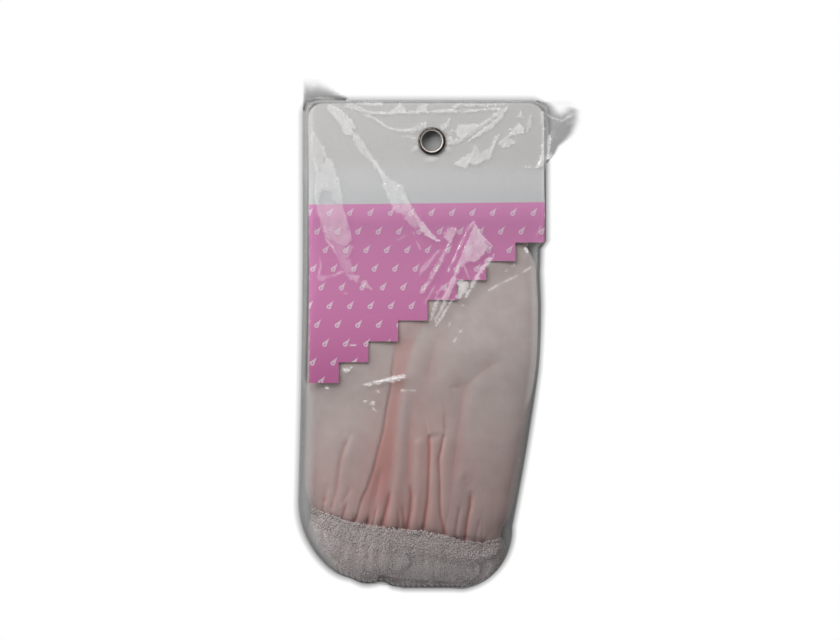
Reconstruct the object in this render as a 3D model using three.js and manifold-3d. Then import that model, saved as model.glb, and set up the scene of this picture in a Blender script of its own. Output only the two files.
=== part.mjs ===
// A terry-lined vinyl shower cap with lace trim, folded flat in its clear hang bag.
// The pack lies on its back: +X across the pack, +Y towards the hanging eyelet, +Z out of its front.
// The origin is on the underside of the bag, on the card's centreline, halfway down the bag.
// Lengths are millimetres, angles are degrees.
import * as THREE from 'three';
import { mergeVertices } from 'three/addons/utils/BufferGeometryUtils.js';
import Module from 'manifold-3d';

const wasm = await Module();
wasm.setup();

// Header card, printed board with a stair-cut lower edge
const CARD_WIDTH = 108;
const CARD_LONG_SIDE = 129;
const CARD_STEP_COUNT = 8;
const CARD_STEP_RISE = 9.2;
const CARD_CORNER_RADIUS = 7;
const CARD_THICKNESS = 0.5;
const CARD_FLAT_LENGTH = 27;

// Hanging eyelet, a flanged barrel rolled over a washer
const EYELET_BORE_DIAMETER = 9.4;
const EYELET_WALL = 0.4;
const EYELET_BEAD_WIDTH = 1.7;
const EYELET_ROLL_WIDTH = 1.4;
const EYELET_FROM_CARD_TOP = 17.5;
const EYELET_SIDE_SHIFT = 2;
const EYELET_HOLE_CLEARANCE = 0.3;
const WASHER_DIAMETER = 14;
const WASHER_THICKNESS = 0.5;

// Clear bag, two films welded round their rim
const FILM_THICKNESS = 0.3;
const BAG_LEFT_MARGIN = 3.8;
const BAG_RIGHT_MARGIN = 1.8;
const BAG_TOP_MARGIN = 1.6;
const BAG_END_MARGIN = 3;
const BAG_LEFT_CORNER_RADIUS = 40;
const BAG_RIGHT_CORNER_RADIUS = 30;
const PILLOW_ROUNDING = 14;
const PILLOW_TAPER = 35;
const SIDE_BEND = 1.6;
const BACK_RAMP_LENGTH = 14;
const LEFT_EAR_WIDTH = 17;
const LEFT_EAR_HEIGHT = 10.5;
const RIGHT_EAR_REACH = 15;
const RIGHT_EAR_DROP = 29;
const EAR_ROOT = 1.2;
const EAR_THICKNESS = 0.8;

// Cap, a round of vinyl and terry drawn in by an elastic
const CAP_CLEARANCE = 2.2;
const CROWN_FROM_CARD_TOP = 56;
const CAP_LENGTH = 140;
const CROWN_HOLLOW = 1.6;
const CAP_HOLLOW = 13.5;
const HEM_HOLLOW = 12.5;
const CROWN_TAPER = 75;
const CROWN_ROUNDING = 26;
const HEM_WIDTH = 94;
const HEM_CENTRE_X = -9.5;
const HEM_WAIST = 1.5;
const HEM_SLANT = 8;
const SKIRT_HOLLOW = 9;
const VINYL_THICKNESS = 0.5;
const TERRY_THICKNESS = 1.5;
const SKIRT_LENGTH = 21;
const GATHER_COUNT = 13;
const GATHER_DEPTH = 1.2;
const GATHER_REACH = 75;

// Elastic, lace and seam
const ELASTIC_WIDTH = 6;
const ELASTIC_THICKNESS = 0.8;
const LACE_WIDTH = 27;
const LACE_THICKNESS = 0.6;
const SCALLOP_DEPTH = 2.2;
const THREAD_DIAMETER = 0.5;
const SEAM_BELOW_LACE_EDGE = 3;

// Gap between pieces that touch, and facets of the round ones
const SEAT_GAP = 0.2;
const CARD_CAP_GAP = 0.8;
const ROUND_SEGMENTS = 32;
const ARC_STEPS = 5;
const MERGE_DISTANCE = 1e-4;

// Heights above the surface the pack lies on
const rollRadius = EYELET_ROLL_WIDTH / 2;
const beadRadius = EYELET_BEAD_WIDTH / 2;
const washerBottom = rollRadius + SEAT_GAP;
const headerFilmBottom = washerBottom + WASHER_THICKNESS + SEAT_GAP;
const headerCardBottom = headerFilmBottom + FILM_THICKNESS + SEAT_GAP;
const headerFrontFilmBottom = headerCardBottom + CARD_THICKNESS + SEAT_GAP;
const beadSeat = headerFrontFilmBottom + FILM_THICKNESS + SEAT_GAP;
const capBase = FILM_THICKNESS + SEAT_GAP;
const rimRounding = Math.min(BAG_LEFT_MARGIN, BAG_RIGHT_MARGIN) - 2 * FILM_THICKNESS - SEAT_GAP;

// Layers of the cap's wall, measured inwards from the outside of the vinyl
const laceInset = LACE_THICKNESS + THREAD_DIAMETER + 2 * SEAT_GAP;
const terryOutside = VINYL_THICKNESS + SEAT_GAP;
const terryInside = terryOutside + TERRY_THICKNESS;
const elasticOutside = terryInside + SEAT_GAP;

// Stations along the pack
const bagLength = BAG_TOP_MARGIN + CROWN_FROM_CARD_TOP + CAP_LENGTH - ELASTIC_WIDTH / 2 + LACE_WIDTH
  + SCALLOP_DEPTH + BAG_END_MARGIN;
const bagTop = bagLength / 2;
const bagEnd = -bagLength / 2;
const cardTop = bagTop - BAG_TOP_MARGIN;
const cardTip = cardTop - CARD_LONG_SIDE;
const cardShortEnd = cardTip + (CARD_STEP_COUNT - 1) * CARD_STEP_RISE;
const cardFlatEnd = cardTop - CARD_FLAT_LENGTH;
const crown = cardTop - CROWN_FROM_CARD_TOP;
const fullest = crown - CROWN_TAPER;
const hem = crown - CAP_LENGTH;
const elasticTop = hem + ELASTIC_WIDTH / 2;
const elasticEnd = hem - ELASTIC_WIDTH / 2;
const skirtEnd = hem - SKIRT_LENGTH;
const laceEnd = elasticTop - LACE_WIDTH;
const seam = elasticTop - SEAM_BELOW_LACE_EDGE;
const eyelet = new THREE.Vector2(EYELET_SIDE_SHIFT, cardTop - EYELET_FROM_CARD_TOP);
const barrelRadius = EYELET_BORE_DIAMETER / 2 + EYELET_WALL;
const eyeletHoleRadius = barrelRadius + EYELET_HOLE_CLEARANCE;

const lerp = THREE.MathUtils.lerp;
const ease = (value, from, to) => THREE.MathUtils.smoothstep((value - from) / (to - from), 0, 1);

// Plain polygon solids

// Turns a list of points and triangles into a closed geometry whose faces point out.
function closedGeometry(points, triangles) {
  const volume = triangles.reduce((sum, [a, b, c]) => {
    const normal = new THREE.Vector3().crossVectors(points[b], points[c]);
    return sum + points[a].dot(normal);
  }, 0);
  const facing = volume < 0 ? triangles.map(([a, b, c]) => [a, c, b]) : triangles;
  const geometry = new THREE.BufferGeometry().setFromPoints(points);
  return geometry.setIndex(facing.flat());
}

// Triangles between two rings of points, each given by the index of its first point.
function band(from, to, length) {
  const triangles = [];
  for (let i = 0; i < length; i += 1) {
    const j = (i + 1) % length;
    triangles.push([from + i, from + j, to + j], [from + i, to + j, to + i]);
  }
  return triangles;
}

const insideOut = (triangles) => triangles.map(([a, b, c]) => [a, c, b]);

// A sheet of rows across the pack, closed along its rim.
function sheetSolid(upperRows, lowerRows) {
  const loops = upperRows.map((upper, row) => [...upper, ...[...lowerRows[row]].reverse()]);
  const length = loops[0].length;
  const last = (loops.length - 1) * length;
  const triangles = [];
  for (let first = 0; first < last; first += length) {
    triangles.push(...band(first, first + length, length));
  }
  const end = (first) => Array.from({ length: length / 2 - 1 }, (_, i) => {
    const [a, b, c, d] = [i, i + 1, length - 2 - i, length - 1 - i].map((index) => first + index);
    return [[a, b, c], [a, c, d]];
  }).flat();
  triangles.push(...insideOut(end(0)), ...end(last));
  return closedGeometry(loops.flat(), triangles);
}

// Outer and inner faces of a wall of rings, joined round the first ring.
function wallTriangles(ringCount, length) {
  const inner = ringCount * length;
  const triangles = band(inner, 0, length);
  for (let first = 0; first < inner - length; first += length) {
    triangles.push(...band(first, first + length, length));
    triangles.push(...insideOut(band(inner + first, inner + first + length, length)));
  }
  return triangles;
}

// A band that runs round the cap, open at both ends.
function sleeveSolid(outerRings, innerRings) {
  const points = [...outerRings, ...innerRings].flat();
  const length = outerRings[0].length;
  const triangles = wallTriangles(outerRings.length, length);
  triangles.push(...band(points.length / 2 - length, points.length - length, length));
  return closedGeometry(points, triangles);
}

// A pouch, open at its first ring and closed over its last.
function pouchSolid(outerRings, innerRings) {
  const points = [...outerRings, ...innerRings].flat();
  const length = outerRings[0].length;
  const triangles = wallTriangles(outerRings.length, length);
  const cover = (ring, lastPoint) => {
    const middle = points.length;
    const sum = ring.reduce((total, point) => total.add(point), new THREE.Vector3());
    points.push(sum.divideScalar(length));
    const first = lastPoint - length;
    return ring.map((_, i) => [middle, first + i, first + (i + 1) % length]);
  };
  const size = points.length;
  triangles.push(...cover(outerRings.at(-1), size / 2), ...insideOut(cover(innerRings.at(-1), size)));
  return closedGeometry(points, triangles);
}

// Cuts and joins

function toSolid(geometry) {
  const bare = geometry.clone();
  bare.deleteAttribute('normal');
  bare.deleteAttribute('uv');
  const merged = mergeVertices(bare, MERGE_DISTANCE);
  return new wasm.Manifold(new wasm.Mesh({
    numProp: 3,
    vertProperties: merged.attributes.position.array,
    triVerts: new Uint32Array(merged.index.array),
  }));
}

function toGeometry(solid) {
  const mesh = solid.getMesh();
  return new THREE.BufferGeometry()
    .setAttribute('position', new THREE.BufferAttribute(mesh.vertProperties, 3))
    .setIndex(new THREE.BufferAttribute(mesh.triVerts, 1));
}

// A plan outline raised through the whole height of the pack.
function prism(shape, bottom, height) {
  const options = { depth: height, bevelEnabled: false, curveSegments: ARC_STEPS };
  return toSolid(new THREE.ExtrudeGeometry(shape, options).translate(0, 0, bottom));
}

function eyeletHole() {
  const shape = new THREE.Shape().absarc(eyelet.x, eyelet.y, eyeletHoleRadius, 0, 2 * Math.PI);
  return prism(shape, -1, 2 * beadSeat);
}

// Shape of the packed cap

// How far the cap's hollow stands open, from the crown down to the end of the skirt.
function hollow(y) {
  const body = lerp(CROWN_HOLLOW, CAP_HOLLOW, ease(y, crown, fullest));
  const drawnIn = lerp(body, HEM_HOLLOW, ease(y, fullest, hem));
  return lerp(drawnIn, SKIRT_HOLLOW, ease(y, hem, bagEnd));
}

const capThickness = (y) => 2 * terryInside + hollow(y);
const capFront = (y) => capBase + capThickness(y);

// The card lies on the cap, and runs down from the crown to the flat header round the eyelet.
function cardHeight(y) {
  const onCap = capFront(Math.min(y, crown)) + CARD_CAP_GAP;
  if (y <= crown) return onCap;
  return lerp(onCap, headerCardBottom, ease(y, crown, cardFlatEnd));
}

const frontFilmHeight = (y) => cardHeight(y) + CARD_THICKNESS + SEAT_GAP + FILM_THICKNESS;

// The back film lies flat under the cap, and rises over the washer.
const backFilmHeight = (y) => headerFilmBottom * ease(y, cardFlatEnd - BACK_RAMP_LENGTH, cardFlatEnd);

// Sides of the bag: straight down the card, then in to the hem.
function bagSides(y) {
  const toHem = THREE.MathUtils.clamp((cardShortEnd - y) / (cardShortEnd - hem), 0, 1) ** SIDE_BEND;
  const left = lerp(-CARD_WIDTH, 2 * HEM_CENTRE_X - HEM_WIDTH, toHem) / 2 - BAG_LEFT_MARGIN;
  const right = lerp(CARD_WIDTH, 2 * HEM_CENTRE_X + HEM_WIDTH, toHem) / 2 + BAG_RIGHT_MARGIN;
  return { left, right };
}

// How far a rounded corner draws a side in, at a distance from the end of that side.
function cornerInset(distance, radius) {
  const short = radius - THREE.MathUtils.clamp(distance, 0, radius);
  return radius - Math.sqrt(radius ** 2 - short ** 2);
}

const endCorner = (y, side) => (
  cornerInset(y - bagEnd, side < 0 ? BAG_LEFT_CORNER_RADIUS : BAG_RIGHT_CORNER_RADIUS)
);

function bagEdges(y, inset) {
  const { left, right } = bagSides(y);
  const corner = inset + cornerInset(bagTop - y, CARD_CORNER_RADIUS);
  return { left: left + corner + endCorner(y, -1), right: right - corner - endCorner(y, 1) };
}

// How deep the gathers are: full at the elastic, gone towards the crown.
const gatherDepth = (y) => GATHER_DEPTH * (1 - ease(y, hem, hem + GATHER_REACH));

// The hem hangs lower on its right, and straightens out above and below.
const slant = (y) => (y > hem
  ? HEM_SLANT * (1 - ease(y, hem, fullest))
  : HEM_SLANT * (1 - ease(y, hem, laceEnd)));

const FRONT_FULLNESS = 2.6;
const BACK_FULLNESS = 4;
const FRONT_SHARE = 0.65;

// The elastic draws the cap in, and the vinyl lies lower where the lace covers it.
const waist = (y) => HEM_WAIST * (1 - ease(Math.abs(y - hem), 0, SKIRT_LENGTH));
const laceRoom = (y) => (y > elasticTop ? 0 : laceInset);

// One ring of the cap's wall at a station, at a depth below the outside of the vinyl.
function capRing(y, depth, drop = () => 0) {
  const inset = FILM_THICKNESS + CAP_CLEARANCE + waist(y) + laceRoom(y) + depth
    + cornerInset(crown - depth - y, CROWN_ROUNDING);
  const backRoom = terryInside + (1 - FRONT_SHARE) * hollow(y);
  const backHalf = backRoom - depth - laceRoom(y);
  const frontHalf = capThickness(y) - backRoom - depth - laceRoom(y);
  const points = [];
  const perFace = 2 * GATHER_COUNT;
  for (let i = 0; i < 2 * perFace; i += 1) {
    const onFront = i < perFace;
    const across = Math.sin((i % perFace / perFace - 0.5) * Math.PI) * (onFront ? 1 : -1);
    const fullness = onFront ? FRONT_FULLNESS : BACK_FULLNESS;
    const bulge = (1 - Math.abs(across) ** fullness) ** (1 / fullness);
    const fold = (i % 2) * gatherDepth(y) * (1 - across ** 2);
    const height = onFront ? frontHalf * bulge - fold : fold - backHalf * bulge;
    const low = y - slant(y) * across - drop(i);
    const { left, right } = bagSides(low);
    const reach = (right - left) / 2 - inset - endCorner(low, across);
    points.push(new THREE.Vector3((left + right) / 2 + reach * across, low, capBase + backRoom + height));
  }
  return points;
}

const rings = (stations, depth, drop) => stations.map((y) => capRing(y, depth, drop));

// Pieces

function cardOutline() {
  const half = CARD_WIDTH / 2;
  const tread = CARD_WIDTH / CARD_STEP_COUNT;
  const radius = CARD_CORNER_RADIUS;
  const shape = new THREE.Shape().moveTo(-half, cardTip);
  for (let step = 0; step < CARD_STEP_COUNT; step += 1) {
    const y = cardTip + step * CARD_STEP_RISE;
    shape.lineTo(-half + step * tread, y);
    shape.lineTo(-half + (step + 1) * tread, y);
  }
  shape.lineTo(half, cardTop - radius);
  shape.absarc(half - radius, cardTop - radius, radius, 0, Math.PI / 2);
  shape.lineTo(radius - half, cardTop);
  shape.absarc(radius - half, cardTop - radius, radius, Math.PI / 2, Math.PI);
  return shape;
}

function headerCard() {
  const row = (y, lift) => [-1, 1].map((side) => (
    new THREE.Vector3(side * CARD_WIDTH, y, cardHeight(y) + lift)
  ));
  const stations = filmStations(0);
  const bent = sheetSolid(stations.map((y) => row(y, CARD_THICKNESS)), stations.map((y) => row(y, 0)));
  const outline = prism(cardOutline(), 0, frontFilmHeight(fullest));
  return toGeometry(toSolid(bent).intersect(outline).subtract(eyeletHole()));
}

const FILM_COLUMNS = 5;
const FILM_ROWS = 18;
const ROUNDING_STEPS = [0, 0.1, 0.4];
const CORNER_STEPS = [0, 0.1, 0.3, 0.6];

// Rows of the films, close together in the rounding at both ends and round the corners at the foot.
function filmStations(inset) {
  const near = ROUNDING_STEPS.map((share) => inset + share * rimRounding);
  const end = rimRounding + FILM_THICKNESS;
  const straight = Math.max(BAG_LEFT_CORNER_RADIUS, BAG_RIGHT_CORNER_RADIUS);
  const corner = CORNER_STEPS.map((share) => lerp(end, straight, share));
  const topCorner = CORNER_STEPS.map((share) => lerp(end, CARD_CORNER_RADIUS, share));
  const middle = Array.from({ length: FILM_ROWS + 1 }, (_, i) => (
    lerp(straight, bagLength - CARD_CORNER_RADIUS, i / FILM_ROWS)
  ));
  const fromTop = [...near, ...topCorner].map((offset) => bagLength - offset);
  return [...near, ...corner, ...middle, ...fromTop.reverse()].map((offset) => bagEnd + offset);
}

// A tray of film that domes over the card and the cap, down to the weld round its rim.
function frontFilmRow(y, inset) {
  const { left, right } = bagEdges(y, inset);
  const rim = backFilmHeight(y) + FILM_THICKNESS + SEAT_GAP;
  const rise = frontFilmHeight(y) - inset - rim;
  const flattened = Math.max(ease(y, cardTip - PILLOW_TAPER, cardTip), ease(y, hem, bagEnd));
  const rounding = lerp(PILLOW_ROUNDING, rimRounding, flattened);
  const near = [...ROUNDING_STEPS, 1].map((share) => share * rounding);
  const middle = Array.from({ length: FILM_COLUMNS - 1 }, (_, i) => (
    lerp(rounding, right - left - rounding, (i + 1) / FILM_COLUMNS)
  ));
  const columns = [...near, ...middle, ...near.map((offset) => right - left - offset).reverse()];
  const climb = (distance, reach) => 1 - THREE.MathUtils.clamp(distance / reach, 0, 1);
  const fromEnd = climb(Math.min(y - bagEnd, bagTop - y) - inset, rimRounding);
  return columns.map((offset) => {
    const fromSide = climb(Math.min(offset, right - left - offset), rounding);
    const height = rim + rise * Math.sqrt((1 - fromSide ** 2) * (1 - fromEnd ** 2));
    return new THREE.Vector3(left + offset, y, height);
  });
}

// Corners of film left standing out past the folded top of the bag.
function earOutlines() {
  const { left, right } = bagSides(bagTop);
  const corner = CARD_CORNER_RADIUS;
  const root = corner - EAR_ROOT;
  const leftEar = new THREE.Shape().moveTo(left, bagTop - corner);
  leftEar.quadraticCurveTo(left - EAR_ROOT, bagTop, left + EAR_ROOT, bagTop + LEFT_EAR_HEIGHT);
  leftEar.quadraticCurveTo(left + LEFT_EAR_WIDTH / 3, bagTop, left + LEFT_EAR_WIDTH, bagTop);
  leftEar.lineTo(left + LEFT_EAR_WIDTH, bagTop - EAR_ROOT);
  leftEar.absarc(left + corner, bagTop - corner, root, Math.PI / 2, Math.PI);
  const rightEar = new THREE.Shape().moveTo(right - corner, bagTop);
  rightEar.quadraticCurveTo(right, bagTop - RIGHT_EAR_REACH / 3, right + RIGHT_EAR_REACH, bagTop);
  rightEar.quadraticCurveTo(
    right + RIGHT_EAR_REACH, bagTop - RIGHT_EAR_DROP / 2, right, bagTop - RIGHT_EAR_DROP,
  );
  rightEar.lineTo(right - EAR_ROOT, bagTop - RIGHT_EAR_DROP);
  rightEar.absarc(right - corner, bagTop - corner, root, 0, Math.PI / 2);
  return [leftEar, rightEar];
}

function frontFilm() {
  const outer = filmStations(0).map((y) => frontFilmRow(y, 0));
  const inner = filmStations(FILM_THICKNESS).map((y) => frontFilmRow(y, FILM_THICKNESS));
  const tray = toSolid(sheetSolid(outer, inner)).subtract(eyeletHole());
  const earBottom = headerFilmBottom + FILM_THICKNESS + SEAT_GAP;
  const ears = earOutlines().map((shape) => prism(shape, earBottom, EAR_THICKNESS));
  return toGeometry(ears.reduce((film, ear) => film.add(ear), tray));
}

function backFilm() {
  const row = (y, lift) => {
    const { left, right } = bagEdges(y, 0);
    return [left, 0, right].map((x) => new THREE.Vector3(x, y, backFilmHeight(y) + lift));
  };
  const stations = filmStations(0);
  const sheet = sheetSolid(
    stations.map((y) => row(y, FILM_THICKNESS)),
    stations.map((y) => row(y, 0)),
  );
  return toGeometry(toSolid(sheet).subtract(eyeletHole()));
}

// Points of a circular arc in the (radius, height) plane of a turned piece.
function arcPoints(radius, height, size, from, to) {
  return Array.from({ length: ARC_STEPS + 1 }, (_, i) => {
    const angle = THREE.MathUtils.degToRad(lerp(from, to, i / ARC_STEPS));
    return new THREE.Vector2(radius + size * Math.cos(angle), height + size * Math.sin(angle));
  });
}

function turned(profile) {
  const closed = [...profile, profile[0]];
  const geometry = new THREE.LatheGeometry(closed, ROUND_SEGMENTS);
  return geometry.rotateX(Math.PI / 2).translate(eyelet.x, eyelet.y, 0);
}

// Barrel with a half-round bead on the front, and its back end rolled out under the washer.
function eyeletBarrel() {
  const bore = EYELET_BORE_DIAMETER / 2;
  const profile = [
    ...arcPoints(bore + beadRadius, beadSeat, beadRadius, 0, 180),
    ...arcPoints(bore + rollRadius, rollRadius, rollRadius, 180, 360),
    ...arcPoints(bore + rollRadius, rollRadius, rollRadius - EYELET_WALL, 360, 180),
    ...arcPoints(bore + beadRadius, beadSeat, beadRadius - EYELET_WALL, 180, 0),
  ];
  return toGeometry(toSolid(turned(profile)));
}

function eyeletWasher() {
  const [inner, outer] = [eyeletHoleRadius, WASHER_DIAMETER / 2];
  const top = washerBottom + WASHER_THICKNESS;
  const profile = [[inner, top], [inner, washerBottom], [outer, washerBottom], [outer, top]];
  return turned(profile.map(([radius, height]) => new THREE.Vector2(radius, height)));
}

const BODY_STEPS = 4;
const CROWN_STEPS = [1, 0.5, 0.15, 0];

// Stations from the elastic up to the crown, where the layers have their rings one inside the other.
function bodyStations(depth) {
  const shoulder = crown - CROWN_ROUNDING;
  const body = Array.from({ length: BODY_STEPS }, (_, i) => lerp(elasticTop, shoulder, i / BODY_STEPS));
  const end = crown - depth;
  return [elasticEnd, ...body, ...CROWN_STEPS.map((share) => lerp(end, shoulder, share))];
}

function vinylShell() {
  const layer = (depth) => rings([skirtEnd, ...bodyStations(depth)], depth);
  return pouchSolid(layer(0), layer(VINYL_THICKNESS));
}

function terryLining() {
  const layer = (depth) => rings(bodyStations(depth), depth);
  return pouchSolid(layer(terryOutside), layer(terryInside));
}

function elasticBand() {
  const layer = (depth) => rings([elasticEnd, elasticTop], depth);
  return sleeveSolid(layer(elasticOutside), layer(elasticOutside + ELASTIC_THICKNESS));
}

const SCALLOP_PERIOD = 4;

function laceTrim() {
  const scallop = (i) => SCALLOP_DEPTH * Math.abs(Math.sin((i / SCALLOP_PERIOD) * Math.PI));
  const layer = (depth) => [
    capRing(laceEnd, depth, scallop),
    ...rings([skirtEnd, elasticEnd, elasticTop], depth),
  ];
  return sleeveSolid(layer(-SEAT_GAP - LACE_THICKNESS), layer(-SEAT_GAP));
}

function seamThread() {
  const inside = -LACE_THICKNESS - 2 * SEAT_GAP;
  const stations = [seam - THREAD_DIAMETER / 2, seam + THREAD_DIAMETER / 2];
  return sleeveSolid(rings(stations, inside - THREAD_DIAMETER), rings(stations, inside));
}

// Assembly

function piece(name, geometry, color, roughness, metalness, look = {}) {
  const material = new THREE.MeshStandardMaterial({ color, roughness, metalness, ...look });
  const mesh = new THREE.Mesh(geometry, material);
  mesh.name = name;
  return mesh;
}

const clear = { transparent: true, opacity: 0.2 };

const bag = new THREE.Group().add(
  piece('bag_front_film', frontFilm(), 0xe8ecec, 0.12, 0, clear),
  piece('bag_back_film', backFilm(), 0xe8ecec, 0.12, 0, clear),
);

const header = new THREE.Group().add(
  piece('header_card', headerCard(), 0xbd769f, 0.45, 0),
  piece('eyelet_barrel', eyeletBarrel(), 0x8d8478, 0.28, 1),
  piece('eyelet_washer', eyeletWasher(), 0x8d8478, 0.35, 1),
);

const cap = new THREE.Group().add(
  piece('cap_vinyl_shell', vinylShell(), 0xd9bfba, 0.5, 0),
  piece('cap_terry_lining', terryLining(), 0xe8dcd8, 0.95, 0),
  piece('cap_elastic_band', elasticBand(), 0xe6e2dc, 0.9, 0),
  piece('cap_lace_trim', laceTrim(), 0xd2cdca, 0.9, 0),
  piece('hem_seam_thread', seamThread(), 0xe9e4e0, 0.8, 0),
);

export default new THREE.Group().add(bag, header, cap);
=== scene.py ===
"""The looks of a shower cap in its clear hang pack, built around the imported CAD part."""

import math

import bmesh
import bpy
import numpy as np
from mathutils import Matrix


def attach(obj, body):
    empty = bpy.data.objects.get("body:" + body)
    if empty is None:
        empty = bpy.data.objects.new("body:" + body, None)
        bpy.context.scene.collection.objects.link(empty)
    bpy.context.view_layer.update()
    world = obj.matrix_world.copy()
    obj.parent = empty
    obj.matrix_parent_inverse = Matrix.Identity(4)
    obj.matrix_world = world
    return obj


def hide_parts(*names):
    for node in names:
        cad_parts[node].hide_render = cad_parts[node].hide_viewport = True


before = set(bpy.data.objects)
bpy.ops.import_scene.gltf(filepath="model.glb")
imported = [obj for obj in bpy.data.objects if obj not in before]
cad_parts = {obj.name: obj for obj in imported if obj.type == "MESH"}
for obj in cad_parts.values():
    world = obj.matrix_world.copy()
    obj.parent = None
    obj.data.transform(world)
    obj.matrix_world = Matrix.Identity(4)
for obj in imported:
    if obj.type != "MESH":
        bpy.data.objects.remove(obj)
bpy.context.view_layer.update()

# Stations along the pack and heights above the floor, in millimetres, as the solids have them.
BAG_TOP = 113.4
BAG_END = -113.4
CARD_TOP = 111.8
CARD_TIP = -17.2
CARD_HALF = 54.0
CARD_CORNER = 7.0
CARD_THICKNESS = 0.45
CARD_FLAT_END = 84.8
CARD_SHORT_END = 47.2
STEP_COUNT = 8
STEP_RISE = 9.2
TREAD = 13.5
CARD_LEAN = 1.3
STEP_BOW = 1.1
CROWN = 55.8
FULLEST = -19.2
HEM = -84.2
SKIRT_END = -105.0
CAP_BASE = 0.5
EYELET = (2.0, 94.3)
EYELET_HOLE = 5.3
FILM_GAP = 0.35
LEFT_MARGIN = 3.8
RIGHT_MARGIN = 1.8
HEM_LEFT = -56.5
HEM_RIGHT = 37.5
LEFT_CORNER = 43.0
RIGHT_CORNER = 27.5
PINCH = 2.5
PINCH_ABOVE = 0.8
CARD_HOLE = 5.25
HEADER_LIFT = 1.6
HEADER_LIFT_START = 70.8
MM = 0.001

# Counts of mesh columns and rows, lace cells and loops of thread.
HOLE_COLUMN = 4
FRONT_COLUMNS = 250
BACK_COLUMNS = 90
LACE_COLUMNS = 420
LACE_CELLS = 25
BAND_COLUMNS = 320
BAND_ROWS = 7
HEADING_LOOPS = 3600
DROP_LOOPS = 2600
RING_LOOPS = 700

# The camera, and each softbox: name, direction and tilt in degrees, size in metres, brightness.
CAMERA_PLACE = (-0.00345, 0.0115, 1.10)
LENS = 101.6
SOFTBOX_DISTANCE = 0.85
SOFTBOXES = [
    ("box_top", 100, 55, 0.5, 4.6),
    ("box_left_top", 140, 55, 0.52, 4.8),
    ("box_left", 178, 55, 0.32, 4.4),
    ("box_right_top", 48, 55, 0.3, 2.6),
]

# The lace's upper edge across the front, where the elastic draws the cap in.
HEM_LINE = [(-53.0, -76.5), (-51.3, -77.3), (-44.4, -79.6), (-36.6, -82.3), (-29.7, -83.7),
            (-20.9, -85.1), (-11.3, -86.0), (-2.1, -86.7), (9.0, -89.2), (15.4, -91.5),
            (25.5, -92.5), (31.1, -91.3), (37.0, -88.5)]

# How far the bag's bottom edge is drawn up across the pack, deepest where the lace's lobes part.
END_LIFT = [(-46.0, 0.0), (-41.5, 0.5), (-36.0, 1.8), (-30.4, 1.2), (-27.6, 1.6), (-22.0, 3.3),
            (-19.2, 3.3), (-16.4, 1.6), (-10.9, 0.6), (12.0, 0.6), (17.0, 0.0)]
END_REACH = 12.0

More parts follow.
